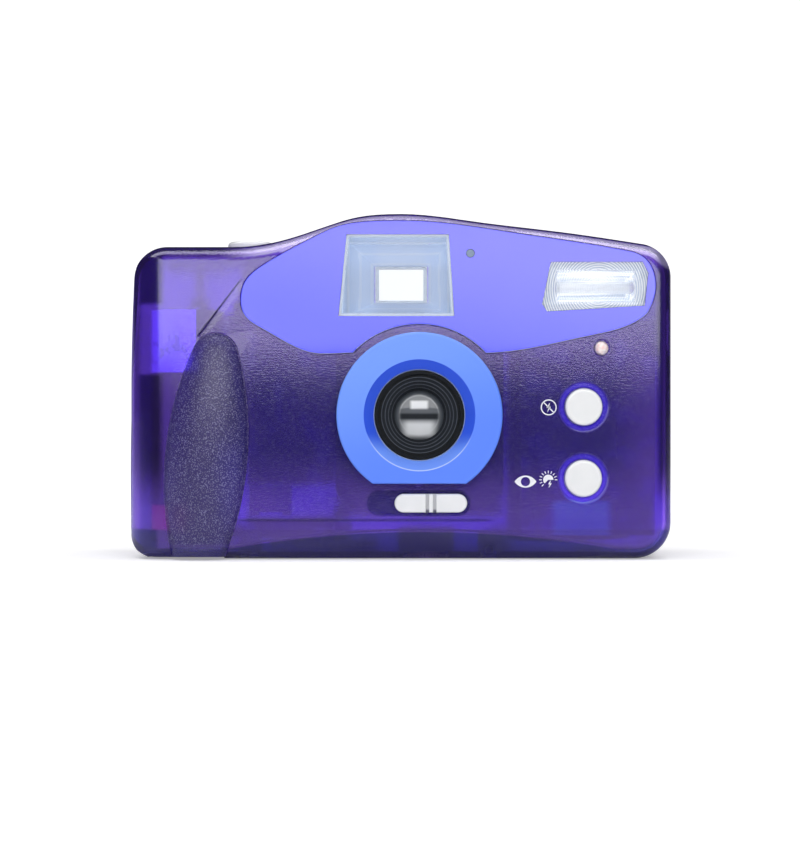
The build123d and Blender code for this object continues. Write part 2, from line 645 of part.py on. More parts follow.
def viewfinder_tube():
    """Tapered tunnel from the front window back to the eyepiece, with a flange behind the window."""
    wall = 0.8
    front, rear = (-13.2, 12.4, 52.6, 71.4), (-7.0, 8.0, 57.3, 67.9)
    bore_front, bore_rear = (
        (x0 + wall, x1 - wall, z0 + wall, z1 - wall) for x0, x1, z0, z1 in (front, rear))
    front_y, rear_y = FINDER_FLANGE_Y[1], 17.1
    flange = plate(inset_polygon(FINDER_FRONT, 0.15), *FINDER_FLANGE_Y)
    mouth = block(bore_front[:2], (FRONT_Y, front_y + 0.1), bore_front[2:])
    outside = frustum(front, front_y, rear, rear_y) + flange
    return outside - frustum(bore_front, front_y, bore_rear, rear_y) - mouth


def viewfinder_lens():
    """Negative objective lens just behind the front window, hollowed at the back."""
    glass = block((-11.6, 10.8), (-13.6, -11.4), (54.4, 69.6))
    bowl = Pos(-0.4, 27.0, 62.0) * Sphere(39.6)
    return glass - bowl


def eyepiece():
    """Clear eyepiece lens in the rear surround."""
    wide, tall = (size - 0.1 for size in EYEPIECE_SEAT)
    return plate(Pos(*EYEPIECE_AT) * RectangleRounded(wide, tall, 1.15), EYEPIECE_Y[0] + 0.1, EYEPIECE_Y[1])


def flash_window():
    """Clear window in front of the flash, with fine rings moulded in its back."""
    ring_first_r, ring_step, ring_half, ring_deep, rings = 2.2, 0.58, 0.15, 0.25, 20
    window = plate(inset_polygon(FLASH_FRONT, 0.08), WINDOW_FACE_Y, PANEL_SEAT_Y)
    groove_y = (PANEL_SEAT_Y - ring_deep, PANEL_SEAT_Y + ring_deep)
    for ring in range(rings):
        radius = ring_first_r + ring_step * ring
        window -= (rod_y(radius + ring_half, FLASH_RINGS_AT, *groove_y)
                   - rod_y(radius - ring_half, FLASH_RINGS_AT, *groove_y))
    return window


def flash_reflector():
    """Bright trough behind the flash window, with a flange that fills the window's opening."""
    front_y, rear_y, wall = FLASH_FLANGE_Y[1], -9.6, 0.6
    outer = frustum((32.6, 53.6, 55.4, 64.4), front_y, (35.4, 50.8, 57.4, 62.4), rear_y)
    bore_front = (33.1, 53.1, 55.9, 63.9)
    bore = frustum(bore_front, front_y, (36.0, 50.2, 58.0, 61.8), rear_y - wall)
    flange = plate(inset_polygon(FLASH_FRONT, 0.15), *FLASH_FLANGE_Y)
    mouth = block(bore_front[:2], (FRONT_Y, front_y + 0.1), bore_front[2:])
    return outer + flange - bore - mouth - rod_x(FLASH_TUBE_R + 0.05, FLASH_TUBE_AT, 30.0, 56.0)


def flash_tube():
    """Glass flash tube with a metal end cap at each side, across the reflector."""
    return rod_x(FLASH_TUBE_R, FLASH_TUBE_AT, 32.8, 53.4)


def flash_capacitor():
    """Main flash capacitor, lying between the viewfinder and the flash."""
    at, rear_y = (21.5, 63.2), 15.4
    can = rod_y(6.4, at, -12.6, rear_y)
    return fillet(rim(can), 0.6) - rod_y(4.6, at, rear_y - 0.4, rear_y + PAST)


def trigger_transformer():
    """Small wound transformer of the flash charger."""
    core = block((-33.0, -24.0), (-14.6, -9.4), (9.5, 16.5))
    for notch_z in ((9.0, 10.2), (15.8, 17.0)):
        core -= block((-31.2, -25.8), (-15.0, -9.0), notch_z)
    return core


def circuit_board():
    """Flash and motor control board behind the buttons, with its parts soldered on."""
    board = block((27.0, 56.5), BOARD_Y, (5.0, 52.5))
    chips = ((33.0, 26.0, 6.0, 5.0), (50.5, 26.0, 5.0, 8.0), (33.0, 9.0, 7.0, 4.0), (50.0, 9.5, 4.0, 3.0),
             (32.0, 41.0, 4.0, 6.0))
    chip_y = (BOARD_Y[0] - 1.3, BOARD_Y[0])
    for x, z, wide, tall in chips:
        board += block((x - wide / 2, x + wide / 2), chip_y, (z - tall / 2, z + tall / 2))
    return board


def push_switches():
    """Switches under the two front buttons and the release button."""
    half, tall, dome_r, dome_tall = 2.2, 0.35, 1.0, 0.5
    board_y = BOARD_Y[0]
    switches = []
    for x, z in BUTTON_AT.values():
        base = block((x - half, x + half), (board_y - tall, board_y), (z - half, z + half))
        switches.append(base + rod_y(dome_r, (x, z), board_y - dome_tall, board_y - tall + 0.05))
    x, y = RELEASE_AT
    release = block((x - 3, x + 3), (y - 3, y + 3), (55.0, 57.2)) + rod_z(dome_r, RELEASE_AT, 57.0, 58.6)
    return Compound(children=switches + [release])


def front_button(centre):
    """Domed push button with a flange that keeps it behind the shell."""
    cap = rod_y(BUTTON_R, centre, BUTTON_FACE_Y, BUTTON_FLANGE_Y[0])
    cap = fillet(rim(cap), 0.7)
    flange = rod_y(5.0, centre, *BUTTON_FLANGE_Y)
    plunger = rod_y(1.5, centre, BUTTON_FLANGE_Y[1] - 0.1, BUTTON_FLANGE_Y[1] + 0.35)
    return cap + flange + plunger


def red_eye_lamp():
    """Clear lamp for red-eye reduction and the flash-ready signal."""
    flange_y = (-15.1, -14.5)
    dome = Pos(LAMP_AT[0], FRONT_Y, LAMP_AT[1]) * Sphere(LAMP_R)
    lamp = dome + rod_y(LAMP_R, LAMP_AT, FRONT_Y, flange_y[0] + 0.1) + rod_y(2.1, LAMP_AT, *flange_y)
    return lamp + rod_y(1.2, LAMP_AT, flange_y[1] - 0.1, BOARD_Y[0])


def light_sensor():
    """Light cell behind the panel, with its round window in the panel's hole."""
    cell = rod_y(1.8, SENSOR_AT, -14.9, -13.4)
    return cell + rod_y(SENSOR_R, SENSOR_AT, WINDOW_FACE_Y + 0.1, -14.8)


def lens_bezel():
    """Blue ring with a flat bottom and a conical throat, pressed into the shell."""
    face_y, throat_y, throat_r, bore_r = -20.2, -17.5, 12.2, 9.87
    front_y, rear_y = face_y - PAST, INNER_FRONT_Y + PAST
    flange = plate(d_shape(18.14, 15.0), face_y, FRONT_Y)
    flange = fillet(rim(flange), 0.5)
    spigot = plate(d_shape(16.8, 13.9), FRONT_Y, INNER_FRONT_Y - 0.1)
    throat = ((0, front_y), (throat_r, front_y), (throat_r, face_y), (bore_r, throat_y), (bore_r, rear_y),
              (0, rear_y))
    return flange + spigot - turned_y(throat, (LENS_X, LENS_Z))


def lens_hood_ring():
    """Black ring between the bezel and the cover blade, stepped inwards towards the lens."""
    outer_r, front_y, rear_y, step_deep = 9.8, -17.9, -14.6, 0.7
    profile = [(outer_r, rear_y), (outer_r, front_y)]
    for step, radius in enumerate((9.0, 8.2, 7.4, 6.8, 6.2)):
        step_y = front_y + step * step_deep
        profile += [(radius, step_y), (radius, min(step_y + step_deep, rear_y))]
    return turned_y(profile, (LENS_X, LENS_Z))


def lens_slider():
    """Ribbed slide below the lens that turns the camera on and swings the cover blade."""
    x, z = SLIDER_AT
    face_y, neck_y, groove_deep, groove_half = -18.7, -16.5, 0.45, 0.28
    bar = plate(Pos(x, z) * SlotOverall(SLIDER_LONG, SLIDER_TALL), face_y, neck_y)
    bar = fillet(rim(bar), 0.5)
    for groove_x in (x - 0.75, x + 0.75):
        groove_y = (face_y - 0.3, face_y + groove_deep)
        bar -= block((groove_x - groove_half, groove_x + groove_half), groove_y, (z - 3, z + 3))
    pin_x = FORK_PIN[0]
    neck_x = (pin_x - SLIDER_NECK_HALF, pin_x + SLIDER_NECK_HALF)
    neck = block(neck_x, (neck_y, KEEPER_Y[0]), (z - 1.1, z + 1.1))
    keeper = block((pin_x - 4.6, pin_x + 4.6), KEEPER_Y, (z - 2.4, z + 2.4))
    return bar + neck + keeper + rod_y(0.8, FORK_PIN, KEEPER_Y[1], BLADE_Y[1] + 0.15)


def lens_cover_blade():
    """Thin black blade that swings over the lens, with a fork for the slider's pin."""
    arm_long, disc_r, hub_r = LENS_Z - COVER_PIVOT[1], 6.2, 2.4
    blade = Pos(0, arm_long) * Circle(disc_r) + Circle(hub_r)
    blade += Pos(0, arm_long / 2) * Rectangle(3.6, arm_long)
    blade = Rot(0, 0, COVER_SWING) * blade
    fork = Pos(0, -3.6) * Rectangle(4.2, 7.2) - Pos(0, -5.6) * Rectangle(1.9, 4.4)
    blade += Rot(0, 0, COVER_SWING / 2) * fork
    blade -= Circle(COVER_PIN_R + 0.05)
    return plate(Pos(*COVER_PIVOT) * blade, *BLADE_Y)


def pivot_pins():
    """Steel pivots of the cover blade and the shutter blade."""
    cover = rod_y(COVER_PIN_R, COVER_PIVOT, BLADE_Y[0] - 0.2, BASE_Y[1] - 0.2)
    shutter = rod_y(SHUTTER_PIN_R, SHUTTER_PIVOT, BASE_Y[1], SHUTTER_Y[1] + 0.35)
    return Compound(children=[cover, shutter])


def shutter_base():
    """Black plate that carries the lens, the cover blade and the shutter."""
    base = block(BASE_X, BASE_Y, BASE_Z)
    base = fillet(base.edges().filter_by(Axis.Y), 2.0)
    base -= rod_y(BARREL_R, (LENS_X, LENS_Z), BASE_Y[0] - PAST, BASE_Y[1] + PAST)
    return base - rod_y(COVER_PIN_R, COVER_PIVOT, BASE_Y[0] - PAST, BASE_Y[1] - 0.2)


def lens_barrel():
    """Black lens barrel with the fixed aperture in its rear wall."""
    centre = (LENS_X, LENS_Z)
    barrel = rod_y(BARREL_R, centre, -13.5, -7.6)
    aperture_r = 1.75
    bores = ((LENS_R + 0.05, (-14.0, -10.8)), (REAR_LENS_R + 0.05, (-11.0, -8.4)), (aperture_r, (-9.0, -7.0)))
    for radius, y in bores:
        barrel -= rod_y(radius, centre, *y)
    return barrel


def domed_lens(radius, y0, y1, front_bulge, rear_bulge):
    """Round lens with a straight rim from y0 to y1 and a spherical dome on each side."""
    lens = rod_y(radius, (LENS_X, LENS_Z), y0, y1)
    for rim_y, bulge, side in ((y0, front_bulge, -1), (y1, rear_bulge, 1)):
        ball_r = (radius ** 2 + bulge ** 2) / (2 * bulge)
        ball = Pos(LENS_X, rim_y - side * (ball_r - bulge), LENS_Z) * Sphere(ball_r)
        cap_y = (rim_y - bulge - PAST, rim_y) if side < 0 else (rim_y, rim_y + bulge + PAST)
        lens += ball & rod_y(radius, (LENS_X, LENS_Z), *cap_y)
    return lens


def front_lens():
    """Front glass element."""
    return domed_lens(LENS_R, -12.4, -11.2, front_bulge=1.0, rear_bulge=0.3)


def rear_lens():
    """Rear glass element."""
    return domed_lens(REAR_LENS_R, -10.3, -9.2, front_bulge=0.35, rear_bulge=0.5)


def shutter_blade():
    """Thin blade that covers the aperture and kicks aside for the exposure."""
    disc_r, hub_r, arm_wide = 2.6, 1.8, 2.2
    blade = Circle(disc_r) + Pos(SHUTTER_ARM, 0) * Circle(hub_r)
    blade += Pos(SHUTTER_ARM / 2, 0) * Rectangle(SHUTTER_ARM, arm_wide)
    blade -= Pos(SHUTTER_ARM, 0) * Circle(SHUTTER_PIN_R + 0.05)
    return plate(Pos(LENS_X, LENS_Z) * blade, *SHUTTER_Y)


def shutter_spring():
    """Return spring coiled round the shutter's pivot."""
    spring = coil(radius=1.15, wire=0.15, pitch=0.5, turns=4)
    return Pos(SHUTTER_PIVOT[0], SHUTTER_Y[0] - 0.7, SHUTTER_PIVOT[1]) * Rot(90, 0, 0) * spring


def light_box():
    """Black tunnel from the lens to the film gate, with the gate plate and the film rails."""
    half_w, half_t, wall = GATE_WIDE / 2, GATE_TALL / 2, 1.2
    front_y, rear_y, gate_y = -6.0, 12.5, (12.0, 14.0)
    rear = (LENS_X - half_w, LENS_X + half_w, LENS_Z - half_t, LENS_Z + half_t)
    front = (LENS_X - 7.5, LENS_X + 7.5, LENS_Z - 5.5, LENS_Z + 5.5)
    gate_x = (-15.0, 24.2)

    def grown(rectangle):
        return (rectangle[0] - wall, rectangle[1] + wall, rectangle[2] - wall, rectangle[3] + wall)

    box = frustum(grown(front), front_y, grown(rear), rear_y)
    box += block(BASE_X, (front_y, front_y + 1.0), BASE_Z)
    box += block(gate_x, gate_y, (8.0, 53.0))
    for z in (LENS_Z - 18.2, LENS_Z + 17.6):
        film_rail = block(gate_x, (gate_y[1] - 0.1, FILM_Y), (z, z + 0.6))
        box += film_rail
    gear_pin_arm = block((-17.0, -11.5), (0.8, 12.2), (8.0, 10.5))
    sprocket_opening = block((-13.0, -5.0), (11.5, 15.0), (44.7, 60.0))
    sprocket_bearing = block((-14.5, -3.5), (8.2, 14.0), (53.0, 54.4))
    box = box + gear_pin_arm - sprocket_opening + sprocket_bearing
    for x in (BASE_X[0] + 2, BASE_X[1] - 2):
        for z in (BASE_Z[0] + 2, BASE_Z[1] - 2):
            post = rod_y(1.6, (x, z), BASE_Y[1], front_y + 0.5)
            box += post
    box -= frustum(front, front_y, rear, rear_y)
    box -= block(rear[:2], (rear_y - 0.1, gate_y[1] + PAST), rear[2:])
    box -= rod_z(SPROCKET_PIN_R + 0.05, SPROCKET_AT, 52.0, 55.0)
    return box - rod_z(GEAR_PIN_R, REDUCTION_AT, 7.0, 11.0)


def spool_chamber():
    """Half-round chamber of the take-up spool, with the gear plate as its floor."""
    inner_r, wall, z, floor = 11.0, 1.2, (4.1, 55.0), 0.8
    chamber = rod_z(inner_r + wall, SPOOL_AT, *z) - rod_z(inner_r, SPOOL_AT, z[0] + floor, z[1] - 1.0)
    open_back = block((-45.0, -8.0), (SPOOL_AT[1] + 5.0, 20.0), (4.0, 56.0))
    gear_opening = block((-18.0, -10.0), (-0.6, 9.0), (z[0] + floor, 10.8))
    gear_floor = block((-17.0, -12.0), (-4.0, 8.0), (z[0], z[0] + floor))
    chamber = chamber - open_back - gear_opening + gear_floor
    chamber -= rod_z(MOTOR_R, SPOOL_AT, z[0] - PAST, z[0] + 2 * PAST)
    chamber -= rod_z(2.6, REDUCTION_AT, z[0] - PAST, z[0] + 2 * PAST)
    return chamber - rod_z(SPOOL_PIN_R + 0.05, SPOOL_AT, z[1] - 2 * PAST, z[1] + PAST)


def cartridge_chamber():
    """Half-round chamber that holds the film cartridge."""
    inner_r, wall, z, floor = 12.9, 1.2, (3.9, 56.4), 1.1
    chamber = rod_z(inner_r + wall, CARTRIDGE_AT, *z) - rod_z(inner_r, CARTRIDGE_AT, z[0] + floor, z[1] - 1.0)
    open_back = block((20.0, 60.0), (CARTRIDGE_AT[1] + 7.0, 20.0), (3.0, 58.0))
    return chamber - open_back - rod_z(FORK_PIN_R + 0.05, CARTRIDGE_AT, z[1] - 1.4, z[1] + PAST)


def take_up_spool():
    """Hollow spool that winds the film, with its drive gear moulded on."""
    core_r, bore_r, flange_r = 6.6, 5.9, 10.2
    spool = gear(WHEEL_TEETH, SPOOL_AT, UPPER_GEARS_Z, bore_r, tooth_at_zero=False)
    spool += rod_z(core_r, SPOOL_AT, UPPER_GEARS_Z[1] - 0.5, 53.0)
    for flange_z in ((12.8, 13.6), (49.6, 50.4)):
        spool += rod_z(flange_r, SPOOL_AT, *flange_z)
    spool -= rod_z(bore_r, SPOOL_AT, 5.0, 52.0)
    film_slot = block((SPOOL_AT[0] - 1.0, SPOOL_AT[0] + 1.0), (SPOOL_AT[1], SPOOL_AT[1] + 8), (28.0, 35.0))
    return spool - film_slot + rod_z(SPOOL_PIN_R, SPOOL_AT, 52.5, 55.0)


def film_sprocket():
    """Toothed wheel that the film turns, one turn a frame."""
    wheel_z = (45.0, 47.4)
    teeth, wheel_r = 8, 2.9
    wheel = rod_z(wheel_r, SPROCKET_AT, *wheel_z) + rod_z(SPROCKET_PIN_R, SPROCKET_AT, wheel_z[1], 54.8)
    tooth_x, tooth_y = (wheel_r - 0.2, wheel_r + 0.55), (-0.45, 0.45)
    tooth_z = (wheel_z[0] + 0.6, wheel_z[1] - 0.6)
    for tooth in range(teeth):
        turn = Pos(*SPROCKET_AT, 0) * Rot(0, 0, tooth * 360 / teeth)
        wheel += turn * block(tooth_x, tooth_y, tooth_z)
    return wheel


def rewind_fork():
    """Two-pronged fork that turns the cartridge's core, with its drive gear above the roof."""
    prong_from_axis, prong_half, prong_z = 1.9, (0.8, 0.5), (50.0, 52.6)
    fork = rod_z(FORK_PIN_R, CARTRIDGE_AT, prong_z[0], 59.2) + rod_z(3.6, CARTRIDGE_AT, 52.4, 54.6)
    fork += gear(24, CARTRIDGE_AT, (57.0, 58.6), FORK_PIN_R - 0.1, tooth_at_zero=True)
    for x in (CARTRIDGE_AT[0] - prong_from_axis, CARTRIDGE_AT[0] + prong_from_axis):
        prong_y = (CARTRIDGE_AT[1] - prong_half[1], CARTRIDGE_AT[1] + prong_half[1])
        fork += block((x - prong_half[0], x + prong_half[0]), prong_y, prong_z)
    return fork


def drive_motor():
    """Small round motor inside the take-up spool."""
    body = rod_z(MOTOR_R, SPOOL_AT, 4.1, 33.0)
    return body - rod_z(MOTOR_PIN_R + 0.05, SPOOL_AT, 4.0, 10.0)


def motor_pinion():
    """Pinion on the motor's shaft."""
    pinion = gear(PINION_TEETH, SPOOL_AT, LOWER_GEARS_Z, 0.3, tooth_at_zero=True)
    return pinion + rod_z(MOTOR_PIN_R, SPOOL_AT, LOWER_GEARS_Z[0], 9.5)


def reduction_gear():
    """Two-step gear between the motor's pinion and the spool's gear."""
    bore = GEAR_PIN_R + 0.05
    wheel = gear(WHEEL_TEETH, REDUCTION_AT, LOWER_GEARS_Z, bore, tooth_at_zero=False)
    small = gear(PINION_TEETH, REDUCTION_AT, UPPER_GEARS_Z, bore, tooth_at_zero=True)
    hub = rod_z(2.2, REDUCTION_AT, LOWER_GEARS_Z[1] - 0.5, UPPER_GEARS_Z[0] + 0.5)
    return wheel + small + (hub - rod_z(bore, REDUCTION_AT, 2.0, 8.0))


def gear_pin():
    """Fixed steel pin that the two-step gear turns on."""
    return rod_z(GEAR_PIN_R, REDUCTION_AT, 2.0, 10.5)


def counter_dial():
    """Frame-counter dial under the window in the top."""
    dial_r, dial_z, pin_r, pin_foot_z = 7.5, (65.0, 66.2), 0.9, 55.6
    return rod_z(dial_r, COUNTER_AT, *dial_z) + rod_z(pin_r, COUNTER_AT, pin_foot_z, dial_z[0] + 0.2)


def counter_window():
    """Clear window over the frame counter."""
    return block((-48.95, -43.05), (10.05, 13.95), (67.4, 68.7))


def shutter_button():
    """Release button with its flange and stem."""
    flange_z, stem_foot_z = (64.6, 65.8), 60.0
    cap = rod_z(RELEASE_R, RELEASE_AT, flange_z[1] - 0.2, RELEASE_TOP_Z)
    cap = fillet(cap.edges().sort_by(Axis.Z)[-1], 0.8)
    flange, stem = rod_z(6.0, RELEASE_AT, *flange_z), rod_z(1.3, RELEASE_AT, stem_foot_z, flange_z[0] + 0.2)
    return cap + flange + stem


def shutter_button_spring():
    """Spring under the release button."""
    foot_z = 57.5
    return Pos(*RELEASE_AT, foot_z) * coil(radius=2.3, wire=0.25, pitch=1.35, turns=5)


def rewind_switch():
    """Small slide in the base that starts an early rewind."""
    knob_y, groove_half = (8.9, 12.5), 0.2
    knob = block((42.0, 46.6), knob_y, (0.3, 0.9))
    for x in (43.2, 44.3, 45.4):
        knob -= block((x - groove_half, x + groove_half), (8.0, 13.0), (-PAST, 0.5))
    neck = block((42.4, 46.2), (9.9, 11.5), (0.9, 2.1))
    keeper = block((40.6, 48.0), knob_y, (2.1, 2.8))
    return knob + neck + keeper


def tripod_bush():
    """Brass bush for a quarter-inch tripod screw."""
    thread_r, thread_deep = 2.55, 5.8
    return rod_z(BUSH_R, BUSH_AT, 0.0, BUSH_TALL) - rod_z(thread_r, BUSH_AT, -PAST, thread_deep)


PIECES = {
    "front_cover": front_cover, "rear_cover": rear_cover, "cover_screws": cover_screws,
    "tripod_bush": tripod_bush, "strap_lug": strap_lug,
    "film_door": film_door, "film_window": film_window, "door_light_seal": door_light_seal,
    "door_hinge_pin": door_hinge_pin, "door_latch": door_latch,
    "pressure_plate": pressure_plate, "pressure_spring": pressure_spring,
    "battery_door": battery_door, "battery_door_pin": battery_door_pin,
    "battery_door_contact": battery_door_contact, "battery_bay": battery_bay,
    "battery_contacts": battery_contacts,
    "window_panel": window_panel, "viewfinder_window": viewfinder_window,
    "viewfinder_lens": viewfinder_lens, "viewfinder_tube": viewfinder_tube, "eyepiece": eyepiece,
    "flash_window": flash_window, "flash_reflector": flash_reflector, "flash_tube": flash_tube,
    "flash_capacitor": flash_capacitor, "trigger_transformer": trigger_transformer,
    "circuit_board": circuit_board, "push_switches": push_switches,
    "red_eye_lamp": red_eye_lamp, "light_sensor": light_sensor,
    "lens_bezel": lens_bezel, "lens_hood_ring": lens_hood_ring, "lens_slider": lens_slider,
    "lens_cover_blade": lens_cover_blade, "pivot_pins": pivot_pins, "shutter_base": shutter_base,
    "lens_barrel": lens_barrel, "front_lens": front_lens, "rear_lens": rear_lens,
    "shutter_blade": shutter_blade, "shutter_spring": shutter_spring, "light_box": light_box,
    "spool_chamber": spool_chamber, "cartridge_chamber": cartridge_chamber,
    "take_up_spool": take_up_spool, "film_sprocket": film_sprocket, "rewind_fork": rewind_fork,
    "drive_motor": drive_motor, "motor_pinion": motor_pinion, "reduction_gear": reduction_gear,
    "gear_pin": gear_pin, "counter_dial": counter_dial, "counter_window": counter_window,
    "shutter_button": shutter_button, "shutter_button_spring": shutter_button_spring,
    "rewind_switch": rewind_switch,
}

os.makedirs("parts", exist_ok=True)
for name, make in PIECES.items():
    export_step(make(), f"parts/{name}.step")
for name, centre in BUTTON_AT.items():
    export_step(front_button(centre), f"parts/{name}.step")
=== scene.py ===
import math

import bmesh
import bpy
from mathutils import Matrix, Vector


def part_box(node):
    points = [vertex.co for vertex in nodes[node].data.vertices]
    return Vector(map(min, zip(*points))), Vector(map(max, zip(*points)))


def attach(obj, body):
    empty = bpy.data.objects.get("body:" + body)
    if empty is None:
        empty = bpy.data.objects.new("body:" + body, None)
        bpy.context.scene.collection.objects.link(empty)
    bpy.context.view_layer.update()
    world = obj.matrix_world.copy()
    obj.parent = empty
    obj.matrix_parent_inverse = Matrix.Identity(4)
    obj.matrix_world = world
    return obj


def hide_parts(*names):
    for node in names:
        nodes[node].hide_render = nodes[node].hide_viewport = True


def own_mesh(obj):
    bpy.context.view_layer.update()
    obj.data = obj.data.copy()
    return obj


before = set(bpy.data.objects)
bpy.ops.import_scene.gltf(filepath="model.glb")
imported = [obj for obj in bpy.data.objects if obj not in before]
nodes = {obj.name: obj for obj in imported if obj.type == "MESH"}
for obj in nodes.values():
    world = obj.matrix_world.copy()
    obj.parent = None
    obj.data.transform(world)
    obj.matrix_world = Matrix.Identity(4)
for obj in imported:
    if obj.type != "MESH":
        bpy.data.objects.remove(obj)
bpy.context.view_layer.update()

# The photograph is taken straight on, from about 43 cm, level with the middle of the front.
# Its scale is known at the body's widest outline: 542.5 pixels for 120 mm.
MM = 0.001
PHOTO_TALL = 853
OUTLINE_PIXELS, OUTLINE_WIDE = 542.5, 0.120
OUTLINE_Y = -13.8 * MM
SENSOR = 36.0
eye = Vector((0.15 * MM, -447.0 * MM, 29.1 * MM))
camera_data = bpy.data.cameras.new("photo_view")
camera_data.sensor_width = SENSOR
camera_data.lens = SENSOR * (OUTLINE_Y - eye.y) / OUTLINE_WIDE * OUTLINE_PIXELS / PHOTO_TALL
camera_data.clip_start = 0.01
camera_data.clip_end = 20.0
camera = bpy.data.objects.new("photo_view", camera_data)
camera.location = eye
camera.rotation_euler = (math.radians(90), 0, 0)
bpy.context.scene.collection.objects.link(camera)
bpy.context.scene.camera = camera
bpy.context.scene.view_settings.view_transform = "Standard"


# The front cover is one moulding of clear violet plastic. Its outside has a fine leather grain, and the
# finger grip a coarse sand texture, both eroded into the mould. Everything behind it shows as soft shapes.
class Wire:
    """An output of a node, on which arithmetic adds Math nodes."""

    def __init__(self, finish, socket):
        self.finish = finish
        self.socket = socket

    def maths(self, operation, *terms):
        return self.finish.maths(operation, *terms)

    def __add__(self, other):
        return self.maths("ADD", self, other)

    def __radd__(self, other):
        return self.maths("ADD", other, self)

    def __sub__(self, other):
        return self.maths("SUBTRACT", self, other)

    def __rsub__(self, other):
        return self.maths("SUBTRACT", other, self)

    def __mul__(self, other):
        return self.maths("MULTIPLY", self, other)

    def __rmul__(self, other):
        return self.maths("MULTIPLY", other, self)

    def __truediv__(self, other):
        return self.maths("DIVIDE", self, other)

    def __pow__(self, power):
        return self.maths("POWER", self, power)

    def above(self, edge, soft):
        """0 below edge and 1 above it, with a smooth step of width soft."""
        inputs = {"Value": self, "From Min": edge - soft / 2, "From Max": edge + soft / 2}
        return self.finish.node("ShaderNodeMapRange", {"interpolation_type": "SMOOTHSTEP"}, inputs)

    def between(self, low, high, soft):
        """1 between low and high and 0 outside, with smooth steps of width soft."""
        return self.above(low, soft) * (1 - self.above(high, soft))


class Finish:
    """A material being mixed: its nodes, its surface shader and places on the object in millimetres."""

    def __init__(self, name, surface):
        self.material = bpy.data.materials.new(name)
        self.material.use_nodes = True
        self.tree = self.material.node_tree
        self.shader = self.tree.nodes["Principled BSDF"]
        for socket, value in surface.items():
            self.shader.inputs[socket].default_value = value
        metres = self.node("ShaderNodeTexCoord", {}, {}, "Object")
        self.place = self.node("ShaderNodeVectorMath", {"operation": "SCALE"}, {0: metres, "Scale": 1 / MM})
        self.x, self.y, self.z = (self.part(self.place, axis) for axis in "XYZ")

    def node(self, kind, settings, inputs, output=0):
        """A new node of this type, with its settings made first and its sockets filled or linked."""
        made = self.tree.nodes.new(kind)
        for name, value in settings.items():
            setattr(made, name, value)
        for name, value in inputs.items():
            if isinstance(value, Wire):
                self.tree.links.new(value.socket, made.inputs[name])
            else:
                made.inputs[name].default_value = value
        return Wire(self, made.outputs[output])

    def maths(self, operation, *terms):
        """One step of arithmetic on values."""
        return self.node("ShaderNodeMath", {"operation": operation}, dict(enumerate(terms)))

    def part(self, vector, axis):
        """One coordinate of a vector."""
        return self.node("ShaderNodeSeparateXYZ", {}, {0: vector}, axis)

    def facing(self, axis):
        """How far the surface faces along an axis, from -1 to 1."""
        return self.part(self.node("ShaderNodeTexCoord", {}, {}, "Normal"), axis)

    def noise(self, size, detail=2.0, stretch=(1, 1, 1)):
        """Cloudy noise whose blots are about size millimetres across."""
        spread = self.node("ShaderNodeVectorMath", {"operation": "MULTIPLY"}, {0: self.place, 1: stretch})
        return self.node("ShaderNodeTexNoise", {}, {"Vector": spread, "Scale": 1 / size, "Detail": detail})

    def cells(self, size, feature="F1"):
        """Cell noise whose cells are about size millimetres across."""
        inputs = {"Vector": self.place, "Scale": 1 / size}
        return self.node("ShaderNodeTexVoronoi", {"feature": feature}, inputs)

    def away_from(self, at):
        """Distance from a point of the front view."""
        x, z = self.x - at[0], self.z - at[1]
        return (x * x + z * z) ** 0.5

    def ring(self, at, inner, outer, soft):
        """1 in a ring about a point of the front view and 0 elsewhere."""
        return self.away_from(at).between(inner, outer, soft)

    def disc(self, at, radius, soft):
        """1 in a disc about a point of the front view and 0 elsewhere."""
        return 1 - self.away_from(at).above(radius, soft)

    def blend(self, factor, first, second):
        """A colour between two colours."""
        colours = [value if isinstance(value, Wire) else (*value, 1) for value in (first, second)]
        inputs = {0: factor, 6: colours[0], 7: colours[1]}
        return self.node("ShaderNodeMix", {"data_type": "RGBA"}, inputs, 2)

    def feed(self, socket, value):
        """Drive one socket of the surface shader."""
        self.tree.links.new(value.socket, self.shader.inputs[socket])

    def bump(self, height):
        """Relief from a height in millimetres."""
        inputs = {"Strength": 1.0, "Distance": MM, "Height": height}
        self.feed("Normal", self.node("ShaderNodeBump", {}, inputs))

    def glow(self, colour):
        """Light that the piece gives off. On the camera's pieces it is painted light, which stands for what
        the clear shell gathers from all round; on the studio floor it makes the floor white.
        """
        self.shader.inputs["Emission Strength"].default_value = 1.0
        self.feed("Emission Color", colour)

    def on(self, *names):
        """Give this finish to CAD nodes."""
        for name in names:
            mesh = nodes[name].data
            mesh.materials.clear()
            mesh.materials.append(self.material)


VIOLET, VIOLET_DEEP = (0.30, 0.13, 0.95), (0.20, 0.08, 0.85)
CLOUD_SIZE, CLOUD_SHARE = 16.0, 0.7
GRAIN_SIZE, GRAIN_STRETCH, GRAIN_DEEP = 0.5, (0.55, 1, 1.4), 0.045
MOULD_ROUGH, ROUGH_VARIES, ROUGH_PATCH = 0.16, 0.05, 3.0


def dyed_plastic(name):
    """See-through plastic with a cloudy violet dye, and its colour."""
    finish = Finish(name, {"IOR": 1.6, "Transmission Weight": 0.8})
    clouds = finish.noise(CLOUD_SIZE, detail=1.0).above(0.5, 0.5) * CLOUD_SHARE
    return finish, finish.blend(clouds, VIOLET, VIOLET_DEEP)


def leather_grain(finish):
    """Pattern of the fine grain in the mould, from 0 to 1."""
    return finish.noise(GRAIN_SIZE, detail=1.0, stretch=GRAIN_STRETCH)


def mould_rough(finish):
    """Roughness that the mould leaves, a little uneven."""
    return MOULD_ROUGH + finish.noise(ROUGH_PATCH) * ROUGH_VARIES


